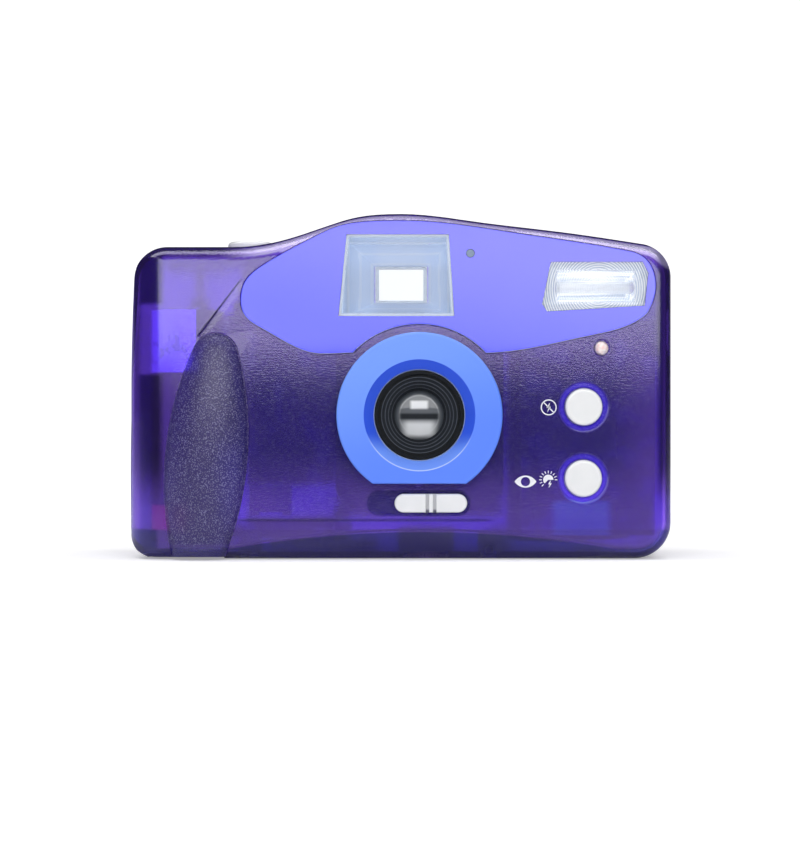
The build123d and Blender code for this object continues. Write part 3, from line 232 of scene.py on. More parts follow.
FACE_Y = -17.0
GRAINED_X, GRAINED_Z = (-50.0, 56.5), 9.5
front, colour = dyed_plastic("violet_front")
grain = leather_grain(front)
grained = front.z.above(GRAINED_Z, 3.0) * front.x.between(*GRAINED_X, 4.0)

# Painted shade: the violet is painted darker over the black parts inside, and on the chin that turns down.
VIOLET_SHADE, CHIN_SHADE_VIOLET = (0.042, 0.019, 0.42), (0.04, 0.035, 0.34)
SHADE_X, SHADE_Z = (-38.0, 52.0), (17.0, 43.0)
CHIN_SUNK, CHIN_Z = 0.15, 6.4
shade = front.z.between(*SHADE_Z, 16.0) * front.x.between(*SHADE_X, 18.0)
colour = front.blend(shade * 0.9, colour, VIOLET_SHADE)
chin_shade = front.y.above(FACE_Y + CHIN_SUNK, 0.2) * (1 - front.z.above(CHIN_Z, 0.8))
colour = front.blend(chin_shade * 0.9, colour, CHIN_SHADE_VIOLET)

# Painted highlight and shade where the wall is seen edge on along the rounded top: a pale band there, under a
# dark line.
HIGHLIGHT_VIOLET, SHADE_LINE_VIOLET = (0.78, 0.74, 0.95), (0.02, 0.01, 0.16)
TOP_DEEP, TOP_Z = 3.2, 64.0
BAND_FROM_X = -35.0
BAND_TURN, LINE_TURN = (0.20, 0.80), 0.84
upward = front.facing("Z")
top_edge = (1 - front.y.above(FACE_Y + TOP_DEEP, 0.5)) * front.z.above(TOP_Z, 3.0)
banded = front.x.above(BAND_FROM_X, 12.0)
highlight_band = upward.between(*BAND_TURN, 0.12) * top_edge * banded
# Painted highlight: a faint pale tint on the tops of the grain.
colour = front.blend(grain.above(0.56, 0.2) * grained * 0.1, colour, HIGHLIGHT_VIOLET)
colour = front.blend(highlight_band * 0.85, colour, HIGHLIGHT_VIOLET)
colour = front.blend(upward.above(LINE_TURN, 0.08) * top_edge * 0.9, colour, SHADE_LINE_VIOLET)

# Painted shade: the rounded left and right corners, and the top at the left, are painted dark, apart from the
# place where the paper label lies behind.
CORNER_SHADE_VIOLET = (0.022, 0.005, 0.14)
CORNER_X, CORNER_DEEP, CORNER_FOOT_Z = (-52.2, 56.6), 4.4, 15.0
PAPER_X, PAPER_Z = (-57.2, -44.0), (40.6, 56.0)
corner_shade = (1 - front.x.between(*CORNER_X, 2.2)) * front.z.above(CORNER_FOOT_Z, 14.0)
over_paper = front.x.between(*PAPER_X, 2.0) * front.z.between(*PAPER_Z, 1.5)
corner_shade = corner_shade * (1 - over_paper * 0.9) + upward.above(0.3, 0.3) * top_edge * (1 - banded)
corner_shade = front.maths("MINIMUM", corner_shade, 1.0) * (1 - front.y.above(FACE_Y + CORNER_DEEP, 2.0))
colour = front.blend(corner_shade * 0.93, colour, CORNER_SHADE_VIOLET)

# The grip stands proud of the face, painted a deeper violet, and fades out above the chin. Painted
# highlights: bright specks on its sand, more along its flank.
GRIP_VIOLET, GLINT_VIOLET = (0.03, 0.018, 0.26), (0.55, 0.52, 0.85)
GRIP_FOOT_Z = 2.8
FLANK_Y = (FACE_Y - 0.5, FACE_Y - 0.06)
SPECK_SIZE, SPECK_FROM = 0.25, 0.60
SAND_SIZE, SAND_DEEP, SAND_ROUGH = 0.42, 0.04, 0.24
proud = 1 - front.y.above(FACE_Y - 0.1, 0.12)
on_grip = proud * front.z.above(GRIP_FOOT_Z, 2.2)
flank = front.y.between(*FLANK_Y, 0.08)
glint_specks = front.noise(SPECK_SIZE, detail=0.5)
colour = front.blend(on_grip * 0.9, colour, GRIP_VIOLET)
colour = front.blend(glint_specks.above(SPECK_FROM, 0.08) * on_grip * 0.5, colour, GLINT_VIOLET)
colour = front.blend(glint_specks.above(SPECK_FROM - 0.1, 0.1) * flank * on_grip * 0.7, colour, HIGHLIGHT_VIOLET)
# Painted shade: where the grip's foot stands proud below the sand, it takes the chin's dark violet.
colour = front.blend((proud - on_grip) * 0.9, colour, CHIN_SHADE_VIOLET)

# The finger valley is bounded by a crease. Painted shade and highlight: a dark line along it, with a lighter
# strip beside it.
# A ledge runs inside the foot, and a painted shadow line lies along it.
CREASE_TOP, CREASE_FOOT = (-34.9, 61.2), (-44.4, 49.0)
CREASE_HALF, LIT_STRIP = 0.18, (0.2, 1.5)
LEDGE_X, LEDGE_Z = (-35.5, 20.0), (8.2, 8.8)


def beside_line(finish, start, end):
    """Distance to one side of a line in the front view, and how far along it, from 0 to 1."""
    run = Vector(end) - Vector(start)
    across, along = run.orthogonal().normalized(), run / run.length_squared
    x, z = finish.x - start[0], finish.z - start[1]
    return x * across.x + z * across.y, x * along.x + z * along.y


aside, along = beside_line(front, CREASE_TOP, CREASE_FOOT)
on_crease = along.between(0.0, 1.0, 0.1) * (1 - on_grip)
ledge_shadow = front.z.between(*LEDGE_Z, 0.5) * front.x.between(*LEDGE_X, 4.0)
colour = front.blend(aside.between(*LIT_STRIP, 0.7) * on_crease * 0.35, colour, HIGHLIGHT_VIOLET)
shade_lines = aside.between(-CREASE_HALF, CREASE_HALF, 0.2) * on_crease * 0.85 + ledge_shadow * 0.6
colour = front.blend(shade_lines, colour, SHADE_LINE_VIOLET)

# The slider's slot is sunk, and painted darker as shade. So is a round seat for each button, with a painted
# highlight arc along the lower side of its rim.
SLOT_SHADE_VIOLET = (0.05, 0.03, 0.42)
SLOT_X, SLOT_Z = (-8.0, 16.5), (9.0, 15.6)
SLOT_Y = (FACE_Y + 0.2, FACE_Y + 1.6)
SEAT_R, SEAT_DEEP = (4.3, 5.5), 2.0
ARC_R, ARC_BELOW, ARC_LEAN = (SEAT_R[1] - 0.25, SEAT_R[1] + 0.05), 3.0, 0.6


def front_middle(name):
    """Middle of a CAD node in the front view, in millimetres."""
    low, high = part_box(name)
    return (low[0] + high[0]) / 2 / MM, (low[2] + high[2]) / 2 / MM


SEATS = [front_middle(name) for name in ("flash_off_button", "fill_flash_button")]
slot = front.y.between(*SLOT_Y, 0.1) * front.x.between(*SLOT_X, 0.1) * front.z.between(*SLOT_Z, 0.1)
colour = front.blend(slot * 0.8, colour, SLOT_SHADE_VIOLET)
rims = sum(front.ring(at, *SEAT_R, 0.8) for at in SEATS) * (1 - front.y.above(FACE_Y + SEAT_DEEP, 0.5))
for at in SEATS:
    height = front.z - at[1] - (front.x - at[0]) * ARC_LEAN
    arc_highlight = front.ring(at, *ARC_R, 0.15) * (1 - height.above(-ARC_BELOW, 1.5))
    colour = front.blend(arc_highlight * 0.7, colour, HIGHLIGHT_VIOLET)

# Painted light: a glow stands for light that the clear dyed plastic gathers. It lies along the edges, on the
# top band, at the seats' rims and in the sand's specks.
EDGE_LIGHT, BAND_LIGHT = (0.012, 0.004, 0.10), (0.13, 0.12, 0.18)
GLINT_LIGHT, RIM_LIGHT = (0.10, 0.085, 0.20), (0.022, 0.012, 0.20)
LEFT_EDGE_X, BRIGHTER_BELOW_Z = -58.8, 20.0
RIGHT_FOOT_X, RIGHT_FOOT_Z = (55.8, 58.8), (3.0, 14.0)
left_edge = (1 - front.x.above(LEFT_EDGE_X, 1.2)) * (0.3 + 0.3 * (1 - front.z.above(BRIGHTER_BELOW_Z, 18.0)))
right_foot = front.x.between(*RIGHT_FOOT_X, 1.4) * front.z.between(*RIGHT_FOOT_Z, 5.0)
painted_glow = front.blend(left_edge + right_foot * 0.5, (0, 0, 0), EDGE_LIGHT)
painted_glow = front.blend(highlight_band, painted_glow, BAND_LIGHT)
glints = glint_specks.above(SPECK_FROM, 0.06) * on_grip * (0.6 + flank * 0.4)
painted_glow = front.blend(glints, painted_glow, GLINT_LIGHT)
front.glow(front.blend(rims, painted_glow, RIM_LIGHT))

# The upper front is slightly domed, so that it mirrors the lamp. Grain and sand are its fine relief.
CROWN_FROM = (4.0, 30.0)
CROWN_R = (900.0, 170.0)


def crown(finish):
    """Height of the slight dome that the upper front face has, in millimetres."""
    across = finish.x - CROWN_FROM[0]
    along = finish.maths("MAXIMUM", finish.z - CROWN_FROM[1], 0.0)
    return -1 * (across * across / (2 * CROWN_R[0]) + along * along / (2 * CROWN_R[1]))


leather = grain * grained * GRAIN_DEEP * (1 - on_grip)
sand = (1 - front.cells(SAND_SIZE)) * on_grip * SAND_DEEP
front.bump(leather + sand + crown(front))
front.feed("Roughness", mould_rough(front) + on_grip * SAND_ROUGH)
front.feed("Base Color", colour)
front.on("front_cover")


# The rear cover is the other half of the shell, moulded from the same plastic and grained alike.
# The film door, its latch, the battery door and the rewind switch are separate mouldings like it.
HOLE_PALE = (0.80, 0.86, 0.93)
HOLE_GAP = 0.25


def plain_shell(name):
    """The same plastic, grained all over, and its colour."""
    finish, colour = dyed_plastic(name)
    finish.feed("Roughness", mould_rough(finish))
    finish.bump(leather_grain(finish) * GRAIN_DEEP)
    return finish, colour


rear, rear_colour = plain_shell("violet_rear")
eyepiece_low, eyepiece_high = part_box("eyepiece")
hole = rear.x.between(eyepiece_low[0] / MM - HOLE_GAP, eyepiece_high[0] / MM + HOLE_GAP, 0.2)
hole = hole * rear.z.between(eyepiece_low[2] / MM - HOLE_GAP, eyepiece_high[2] / MM + HOLE_GAP, 0.2)
rear.feed("Base Color", rear.blend(hole, rear_colour, HOLE_PALE))
rear.on("rear_cover")
doors, doors_colour = plain_shell("violet_doors")
doors.feed("Base Color", doors_colour)
doors.on("film_door", "battery_door", "door_latch", "rewind_switch")


# The window panel is a glossy cap of tinted lavender plastic, moulded thin and backed with white. It is
# snapped into a seat in the front cover.
# Painted light and shade: it is painted lighter towards the top right, its side rim dark and the underside of
# its rim pale.
LAVENDER = (0.075, 0.085, 0.94)
LAVENDER_LIT = (0.17, 0.165, 0.97)
LAVENDER_EDGE_SHADE = (0.02, 0.015, 0.25)
LAVENDER_LIP_HIGHLIGHT = (0.62, 0.60, 0.86)
LIT_Z, LIT_LEAN = 62.0, 0.22
panel = Finish("lavender_panel", {"Roughness": 0.12, "IOR": 1.5})
lit = (panel.z + panel.x * LIT_LEAN).above(LIT_Z, 30.0) * 0.85 + panel.noise(12.0) * 0.15
side_on = panel.facing("Y").above(-0.8, 0.2)
underneath = 1 - panel.facing("Z").above(-0.3, 0.1)
panel_rim_shading = panel.blend(underneath, LAVENDER_EDGE_SHADE, LAVENDER_LIP_HIGHLIGHT)
panel.feed("Base Color", panel.blend(side_on, panel.blend(lit, LAVENDER, LAVENDER_LIT), panel_rim_shading))
panel.bump(panel.noise(9.0, detail=1.0) * 0.05 + crown(panel))
panel.on("window_panel")


# The eyepiece, the film window and the frame counter's window are small clear mouldings, polished in
# the mould and held in their openings in the rear cover and the film door.
clear = Finish("clear_window", {"Roughness": 0.04, "IOR": 1.49, "Alpha": 0.07})
clear.feed("Base Color", clear.blend(clear.noise(6.0), (0.78, 0.86, 0.95), (0.86, 0.92, 0.98)))
clear.on("eyepiece", "film_window", "counter_window")


# The viewfinder's front window is a clear moulding set in the panel. Its border is frosted, so that it
# shows as a pale frame, and it widens downwards.
FINDER_LOW, FINDER_HIGH = (-13.4, 12.1, 53.3), (-11.6, 10.9, 71.3)
FRAME_WIDE, FRAME_SOFT = 0.6, 0.6
framed = Finish("finder_window", {"Roughness": 0.04, "IOR": 1.49})
rise = (framed.z - FINDER_LOW[2]) / (FINDER_HIGH[2] - FINDER_LOW[2])
left = FINDER_LOW[0] + rise * (FINDER_HIGH[0] - FINDER_LOW[0])
right = FINDER_LOW[1] + rise * (FINDER_HIGH[1] - FINDER_LOW[1])
inside = (framed.x - left).above(FRAME_WIDE, FRAME_SOFT) * (right - framed.x).above(FRAME_WIDE, FRAME_SOFT)
inside = inside * framed.z.between(FINDER_LOW[2] + FRAME_WIDE, FINDER_HIGH[2] - FRAME_WIDE, FRAME_SOFT)
framed.feed("Base Color", framed.blend(inside, (0.74, 0.80, 0.90), (0.66, 0.80, 0.98)))
framed.feed("Alpha", 0.08 + 0.5 * (1 - inside))
framed.on("viewfinder_window")


# The flash window is a clear moulding with fine rings in its back that spread the light. It is set in
# the panel over the reflector.
ribbed = Finish("flash_glass", {"Roughness": 0.06, "IOR": 1.49})
RINGS_AT = (43.7, 59.3)
RING_STEP = 0.52
CENTRE_X, CENTRE_Z = (34.6, 51.6), (56.4, 63.4)
rib = ribbed.maths("PINGPONG", ribbed.away_from(RINGS_AT) / RING_STEP, 0.5) * 2
outside = 1 - ribbed.x.between(*CENTRE_X, 1.0) * ribbed.z.between(*CENTRE_Z, 0.8)
ribbed.feed("Base Color", ribbed.blend(rib.above(0.6, 0.4), (0.48, 0.57, 0.72), (0.94, 0.96, 1.0)))
ribbed.feed("Alpha", 0.06 + outside * 0.42 + rib.above(0.7, 0.4) * 0.1)
ribbed.bump(rib * 0.12)
ribbed.on("flash_window")


# The viewfinder's tunnel is moulded from smoky blue-grey plastic. It tapers from a flange behind the front
# window to the eyepiece, with fine
# steps across its walls. Painted light: the walls are painted paler towards the eyepiece, with pale highlight
# lines on the steps, and given a glow.
PALER_Y = -6.8
tunnel = Finish("smoky_tunnel", {"Roughness": 0.3, "IOR": 1.49})
depth = tunnel.y.above(PALER_Y, 20.0)
walls = tunnel.blend(depth, (0.64, 0.79, 1.0), (0.80, 0.88, 1.0))
walls = tunnel.blend(tunnel.noise(5.0) * 0.3, walls, (0.46, 0.58, 0.88))
STEP_YS = (-9.5, 2.0, 14.0)
STEP_HALF = 1.3
step_highlights = sum(tunnel.y.between(at - STEP_HALF, at + STEP_HALF, 0.4) for at in STEP_YS)
tunnel.feed("Base Color", tunnel.blend(step_highlights * 0.7, walls, (0.95, 0.97, 1.0)))
tunnel.glow(tunnel.blend(depth, (0.09, 0.105, 0.13), (0.13, 0.145, 0.17)))
tunnel.on("viewfinder_tube")


# The two lens elements are ground glass with a faint coating. They sit in the lens barrel, one behind the
# other. Painted reflections: the bright room is painted on them as pale patches with a dark waist, with a
# pale ring near the rim and a lighter middle.
LENS_AT = front_middle("front_lens")
GLASS_R = 4.9
WAIST_Z, WAIST_HALF = (30.7, 32.0), 4.3
SPOT_Z, SPOT_HALF = (33.0, 34.8), 1.9
POOL_Z, POOL_HALF = (26.9, 30.2), 3.4
glass = Finish("optical_glass", {"Roughness": 0.08, "IOR": 1.5})
aside = glass.x - LENS_AT[0]
pool_reflection = glass.z.between(*POOL_Z, 1.6) * aside.between(-POOL_HALF, POOL_HALF, 2.6)
spot_reflection = glass.z.between(*SPOT_Z, 0.6) * aside.between(-SPOT_HALF, SPOT_HALF, 0.9)
waist_reflection = glass.z.between(*WAIST_Z, 0.7) * aside.between(-WAIST_HALF, WAIST_HALF, 1.2)
painted_reflections = glass.blend(glass.disc(LENS_AT, GLASS_R, 1.0), (0.06, 0.07, 0.085), (0.13, 0.14, 0.155))
painted_reflections = glass.blend(glass.ring(LENS_AT, GLASS_R - 0.7, GLASS_R - 0.4, 0.3) * 0.3, painted_reflections, (0.45, 0.47, 0.50))
painted_reflections = glass.blend(pool_reflection * 0.85, painted_reflections, (0.74, 0.76, 0.78))
painted_reflections = glass.blend(spot_reflection * 0.85, painted_reflections, (0.80, 0.82, 0.84))
painted_reflections = glass.blend(waist_reflection * 0.9, painted_reflections, (0.012, 0.014, 0.018))
glass.feed("Base Color", painted_reflections)
glass.on("front_lens", "rear_lens")


# The viewfinder's objective is a hollowed lens of clear moulded plastic. It sits in the tunnel, just
# behind the front window.
finder = Finish("finder_glass", {"Roughness": 0.0, "IOR": 1.08, "Transmission Weight": 1.0})
finder.feed("Base Color", finder.blend(finder.noise(8.0), (0.93, 0.96, 1.0), (1.0, 1.0, 1.0)))
finder.on("viewfinder_lens")


# The lamp for red-eye reduction and flash-ready is a clear domed cap, moulded with fine facets over a
# reddish lamp and held in its own hole in the shell.
lamp = Finish("lamp_glass", {"Roughness": 0.08, "IOR": 1.5, "Coat Weight": 1.0})
lamp.feed("Base Color", lamp.blend(lamp.cells(0.9), (0.95, 0.62, 0.60), (0.95, 0.92, 0.90)))
lamp.bump(lamp.cells(0.7) * 0.3)
lamp.on("red_eye_lamp")


# The lens ring is moulded in light blue plastic with a satin face, a flat bottom and a conical throat.
# It is pressed into the shell round the lens. Painted light and shade: the face is painted lighter towards
# the top left, the lower throat darker, and fine highlight lines run round the throat's lower edge and the
# hole.
ring = Finish("blue_ring", {"Roughness": 0.34, "IOR": 1.48})
RING_SHADED, RING_LIT = (0.10, 0.235, 0.95), (0.165, 0.33, 0.98)
RING_CONE_SHADE, RING_LIP, RING_HIGHLIGHT = (0.035, 0.11, 0.80), (0.15, 0.31, 0.96), (0.62, 0.74, 0.98)
HOLE_R, THROAT_R = 9.9, 12.15
LOWER_Z = LENS_AT[1] - 6.0
LIT_FROM, LIT_ACROSS = LENS_AT[1] + 2.0, 0.4
lit_face = ring.blend((ring.z - ring.x * LIT_ACROSS).above(LIT_FROM, 30.0), RING_SHADED, RING_LIT)
lower = 1 - ring.z.above(LOWER_Z, 5.0)
cone_shading = ring.blend(lower, RING_CONE_SHADE, RING_LIP)
in_cone = ring.disc(LENS_AT, THROAT_R, 0.15)
lines = ring.ring(LENS_AT, THROAT_R - 0.1, THROAT_R + 0.12, 0.15) * lower
lines = lines + ring.ring(LENS_AT, HOLE_R - 1, HOLE_R + 0.15, 0.1)
ring.feed("Base Color", ring.blend(lines * 0.7, ring.blend(in_cone, lit_face, cone_shading), RING_HIGHLIGHT))
ring.bump(ring.noise(0.3) * 0.006)
ring.on("lens_bezel")


# The plates, chambers, spool and switches inside are black mouldings that hold the optics and the film.
# Their plastic is matt, because stray light would fog the film.
def black_plastic(name, rough, texture=0.012):
    """Black moulded plastic with a faint matt texture."""
    finish = Finish(name, {"IOR": 1.5})
    finish.feed("Base Color", finish.blend(finish.noise(3.0), (0.004, 0.005, 0.008), (0.011, 0.013, 0.019)))
    finish.feed("Roughness", rough + finish.noise(1.2) * 0.1)
    finish.bump(finish.noise(0.25) * texture)
    return finish


moulded = black_plastic("black_moulding", 0.42)
moulded.on("shutter_base", "light_box", "take_up_spool", "push_switches", "cartridge_chamber")


# The hood ring and the lens barrel are black mouldings with a satin skin. The ring steps inwards
# towards the lens, and a fine painted highlight lies along the edge of each step.
STEPS_R = (6.1, 6.8, 7.5, 8.3)
satin = black_plastic("black_satin", 0.2, texture=0.003)
steps = sum(satin.ring(LENS_AT, radius - 0.09, radius + 0.09, 0.1) for radius in STEPS_R)
inner = satin.disc(LENS_AT, STEPS_R[-1], 0.2)
plain = satin.blend(inner, (0.003, 0.005, 0.008), (0.009, 0.013, 0.020))
satin.feed("Base Color", satin.blend(steps, plain, (0.055, 0.065, 0.085)))
satin.on("lens_hood_ring", "lens_barrel")


# The lens cover blade, the shutter blade and the film's pressure plate are stamped from thin sheet and
# blackened. The blades turn on pins, and the plate is pushed by a leaf spring on the film door.
sheet = black_plastic("black_sheet", 0.3)
sheet.on("lens_cover_blade", "shutter_blade", "pressure_plate")


# The light sensor is a small grey cell potted in clear resin, and its round window fills the hole in
# the panel.
cell = Finish("sensor_window", {"Roughness": 0.15, "IOR": 1.5})
cell.feed("Base Color", cell.blend(cell.noise(1.0), (0.20, 0.26, 0.36), (0.34, 0.42, 0.55)))
cell.on("light_sensor")


# The light seal is a frame of black foam, cut from a sheet and glued to the film door round its window,
# so that no light creeps past.
foam = Finish("seal_foam", {"Roughness": 0.9})
foam.feed("Base Color", foam.blend(foam.cells(0.5), (0.01, 0.01, 0.01), (0.05, 0.05, 0.055)))
foam.bump(foam.cells(0.5) * 0.2)
foam.on("door_light_seal")


# The cell bay is two joined tubes, moulded in black plastic, that hold the cells behind the left side.
# A paper label and a red band are stuck round it. Both are given a glow, painted light, so that they show
# brightly through the shell.
LABEL_X, LABEL_Z = (-55.2, -44.7), (41.0, 55.5)
BAND_X, BAND_Z = (-55.0, -46.8), (6.2, 11.7)
FRONT_HALF_Y = -7.4
SMUDGE_SIZE, SMUDGE_Z = 1.6, (43.0, 49.5)
bay = Finish("bay_moulding", {"Roughness": 0.5})
front_half = 1 - bay.y.above(FRONT_HALF_Y, 0.5)
on_label = bay.x.between(*LABEL_X, 0.4) * bay.z.between(*LABEL_Z, 0.4) * front_half
on_band = bay.x.between(*BAND_X, 0.8) * bay.z.between(*BAND_Z, 0.8) * front_half
smudges = bay.noise(SMUDGE_SIZE, stretch=(1, 1, 0.5)).above(0.56, 0.06) * bay.z.between(*SMUDGE_Z, 1.0)
paper = bay.blend(smudges * 0.5, (0.95, 0.95, 0.97), (0.12, 0.10, 0.30))
moulding = bay.blend(bay.noise(4.0), (0.008, 0.008, 0.012), (0.02, 0.02, 0.03))
bay_colour = bay.blend(on_label, moulding, paper)
bay.feed("Base Color", bay.blend(on_band, bay_colour, (0.98, 0.05, 0.10)))
label_glow = bay.blend(on_label * (1 - smudges * 0.4), (0.004, 0.001, 0.02), (0.30, 0.22, 1.1))
bay.glow(bay.blend(on_band * (0.5 + bay.noise(2.0) * 0.5), label_glow, (0.60, 0.02, 0.11)))
bay.on("battery_bay")


# The take-up spool's chamber is a half-round moulding of dark plastic, with the gear plate as its floor.
# Its ribs and foot are painted pale, and they and some blots are given a glow as painted light, so that they
# show through the lower half of the shell.
RIB_X, RIB_Z = (-39.3, -34.4), (7.5, 24.8)
FOOT_X, FOOT_Z = (-34.0, -10.0), (8.9, 16.0)
spool = Finish("chamber_moulding", {"Roughness": 0.45})
on_rib = spool.x.between(*RIB_X, 2.0) * spool.z.between(*RIB_Z, 3.0)
on_foot = spool.x.between(*FOOT_X, 3.0) * spool.z.between(*FOOT_Z, 2.0)
pale = (on_rib + on_foot) * (0.55 + spool.noise(2.2).above(0.5, 0.4) * 0.4)
spool.feed("Base Color", spool.blend(pale, (0.012, 0.012, 0.02), (0.72, 0.72, 0.80)))
glow_blots = spool.noise(4.0, detail=1.0, stretch=(1, 1, 0.6)).above(0.60, 0.14)
spool.glow(spool.blend(on_rib + on_foot * 0.6 + glow_blots * 0.2, (0.006, 0.003, 0.03), (0.16, 0.10, 0.60)))
spool.on("spool_chamber")


# The lens slider, the two front buttons and the release button are white gloss mouldings, polished where
# the finger touches them and kept in by a flange. The slider has two grooves for grip.
GROOVES_X = (6.15, 7.75)
GROOVE_HALF = 0.36
GROOVE_FOOT_Z = 10.9
white = Finish("white_gloss", {"Roughness": 0.2, "IOR": 1.5, "Coat Weight": 0.3})
grooves = sum(white.x.between(at - GROOVE_HALF, at + GROOVE_HALF, 0.25) for at in GROOVES_X)
plain_white = white.blend(white.noise(2.5), (0.79, 0.805, 0.81), (0.85, 0.855, 0.86))
# Painted shade: the slider's grooves are painted dark, more so towards their foot.
groove_foot_shade = 1 - white.z.above(GROOVE_FOOT_Z, 0.6)
white.feed("Base Color", white.blend(grooves * (0.35 + groove_foot_shade * 0.6), plain_white, (0.10, 0.10, 0.16)))
white.bump(white.noise(0.6) * 0.004 - grooves * 0.15)
white.on("lens_slider", "shutter_button", "flash_off_button", "fill_flash_button")


# Three white marks are printed on the front beside the buttons: flash off, an eye, and a half sun.
# Each is a film of ink of even thickness on the shell.
INK = 0.03
STROKE = 0.24
FLASH_OFF_AT = (32.8, 33.3)
FLASH_OFF_R = 1.75
EYE_AT = (27.7, 17.0)
EYE_HALF = (2.37, 1.33)
PUPIL_R = 1.02
SUN_AT = (32.7, 17.4)
SUN_R = 1.13
SUN_TURN = math.radians(225)
RAYS, RAY_FROM, RAY_TO = 11, 1.42, 2.0
LID_POWER = 0.8
BOLT = ((0.30, 1.15), (-0.50, -0.10), (-0.05, -0.10), (-0.35, -1.15), (0.55, 0.15), (0.08, 0.15))


def printed(name, mark, at):
    """Ink film from faces drawn in (X, Z) millimetres about a point of the front."""
    bmesh.ops.remove_doubles(mark, verts=mark.verts, dist=0.001)
    bmesh.ops.recalc_face_normals(mark, faces=mark.faces)
    raised = bmesh.ops.extrude_face_region(mark, geom=mark.faces[:])["geom"]
    top = [part for part in raised if isinstance(part, bmesh.types.BMVert)]
    bmesh.ops.translate(mark, vec=(0, 0, INK), verts=top)
    bmesh.ops.rotate(mark, cent=(0, 0, 0), matrix=Matrix.Rotation(math.radians(90), 3, "X"), verts=mark.verts)
    bmesh.ops.translate(mark, vec=(at[0], FACE_Y, at[1]), verts=mark.verts)
    bmesh.ops.scale(mark, vec=(MM, MM, MM), verts=mark.verts)
    bmesh.ops.recalc_face_normals(mark, faces=mark.faces)
    data = bpy.data.meshes.new(name)
    mark.to_mesh(data)
    mark.free()
    piece = bpy.data.objects.new(name, data)
    bpy.context.scene.collection.objects.link(piece)
    data.materials.append(ink.material)
    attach(piece, "camera_body")


def bar(mark, length, width, turn, from_middle=0.0):
    """Straight stroke along an angle, with its middle some way from the middle of the mark."""
    made = bmesh.ops.create_grid(mark, x_segments=1, y_segments=1, size=0.5)["verts"]
    bmesh.ops.scale(mark, vec=(length, width, 1), verts=made)
    bmesh.ops.translate(mark, vec=(from_middle, 0, 0), verts=made)
    bmesh.ops.rotate(mark, cent=(0, 0, 0), matrix=Matrix.Rotation(turn, 3, "Z"), verts=made)


def bolt(mark, size, at):
    """Solid lightning bolt about a point."""
    corners = [mark.verts.new((at[0] + x * size, at[1] + y * size, 0)) for x, y in BOLT]
    mark.faces.new(corners)


def ring_of_ink(mark, radius, stroke):
    """Round outline that starts a mark. Gives back the points of its outer edge."""
    bmesh.ops.create_circle(mark, segments=48, radius=radius)
    grown = bmesh.ops.extrude_edge_only(mark, edges=mark.edges[:])["geom"]
    outer = [part for part in grown if isinstance(part, bmesh.types.BMVert)]
    growth = 1 + stroke / radius
    bmesh.ops.scale(mark, vec=(growth, growth, 1), verts=outer)
    return outer


ink = Finish("printed_ink", {"Roughness": 0.5})
ink.feed("Base Color", ink.blend(ink.noise(0.5), (0.74, 0.75, 0.80), (0.84, 0.85, 0.88)))

mark = bmesh.new()
ring_of_ink(mark, FLASH_OFF_R - STROKE, STROKE)
bar(mark, 2 * FLASH_OFF_R - STROKE, STROKE, math.radians(-45))
bolt(mark, size=0.95, at=(0.0, 0.0))
printed("flash_off_mark", mark, FLASH_OFF_AT)

mark = bmesh.new()
for vert in ring_of_ink(mark, PUPIL_R, STROKE):
    angle = math.atan2(vert.co.y, vert.co.x)
    across = math.cos(angle) * EYE_HALF[0]
    almond = EYE_HALF[1] * (1 - (across / EYE_HALF[0]) ** 2) ** LID_POWER
    vert.co.x, vert.co.y = across, math.copysign(almond, math.sin(angle))
printed("eye_mark", mark, EYE_AT)

mark = bmesh.new()
spoke = [mark.verts.new((0, 0, 0)), mark.verts.new((SUN_R, 0, 0))]
edge = mark.edges.new(spoke)
bmesh.ops.spin(mark, geom=[*spoke, edge], cent=(0, 0, 0), axis=(0, 0, 1), angle=SUN_TURN, steps=24)
for ray in range(RAYS):
    bar(mark, RAY_TO - RAY_FROM, STROKE * 0.7, SUN_TURN * ray / (RAYS - 1), (RAY_FROM + RAY_TO) / 2)
bolt(mark, size=0.8, at=(0.35, -0.9))
printed("half_sun_mark", mark, SUN_AT)


# The gears, the sprocket, the rewind fork and the counter dial are moulded from white nylon. They run
# dry on steel pins and in plain bearings.
nylon = Finish("white_gear", {"Roughness": 0.4})
nylon.feed("Base Color", nylon.blend(nylon.noise(1.5), (0.72, 0.72, 0.68), (0.80, 0.80, 0.77)))
nylon.bump(nylon.noise(0.3) * 0.01)
nylon.on("reduction_gear", "motor_pinion", "film_sprocket", "rewind_fork", "counter_dial")


# The springs, pins, contacts, screws and strap bar are bright steel, drawn as wire or stamped from
# strip, and pressed, hooked or screwed into the mouldings.
steel = Finish("spring_steel", {"Metallic": 1.0})
steel.feed("Base Color", steel.blend(steel.noise(0.8), (0.55, 0.55, 0.57), (0.68, 0.68, 0.70)))
steel.feed("Roughness", 0.22 + 0.2 * steel.noise(0.5))
steel.on("pressure_spring", "shutter_spring", "battery_contacts", "battery_door_contact", "pivot_pins",
         "gear_pin", "door_hinge_pin", "battery_door_pin", "strap_lug", "cover_screws")


# The drive motor is a small round can of drawn and plated steel. It sits inside the take-up spool.
# The tool that drew it left fine marks along the can.
can = Finish("motor_can", {"Metallic": 1.0})
can.feed("Base Color", can.blend(can.noise(1.0, stretch=(1, 1, 0.1)), (0.48, 0.49, 0.50), (0.66, 0.67, 0.68)))
can.feed("Roughness", 0.28 + 0.15 * can.noise(0.6, stretch=(1, 1, 0.1)))
can.on("drive_motor")


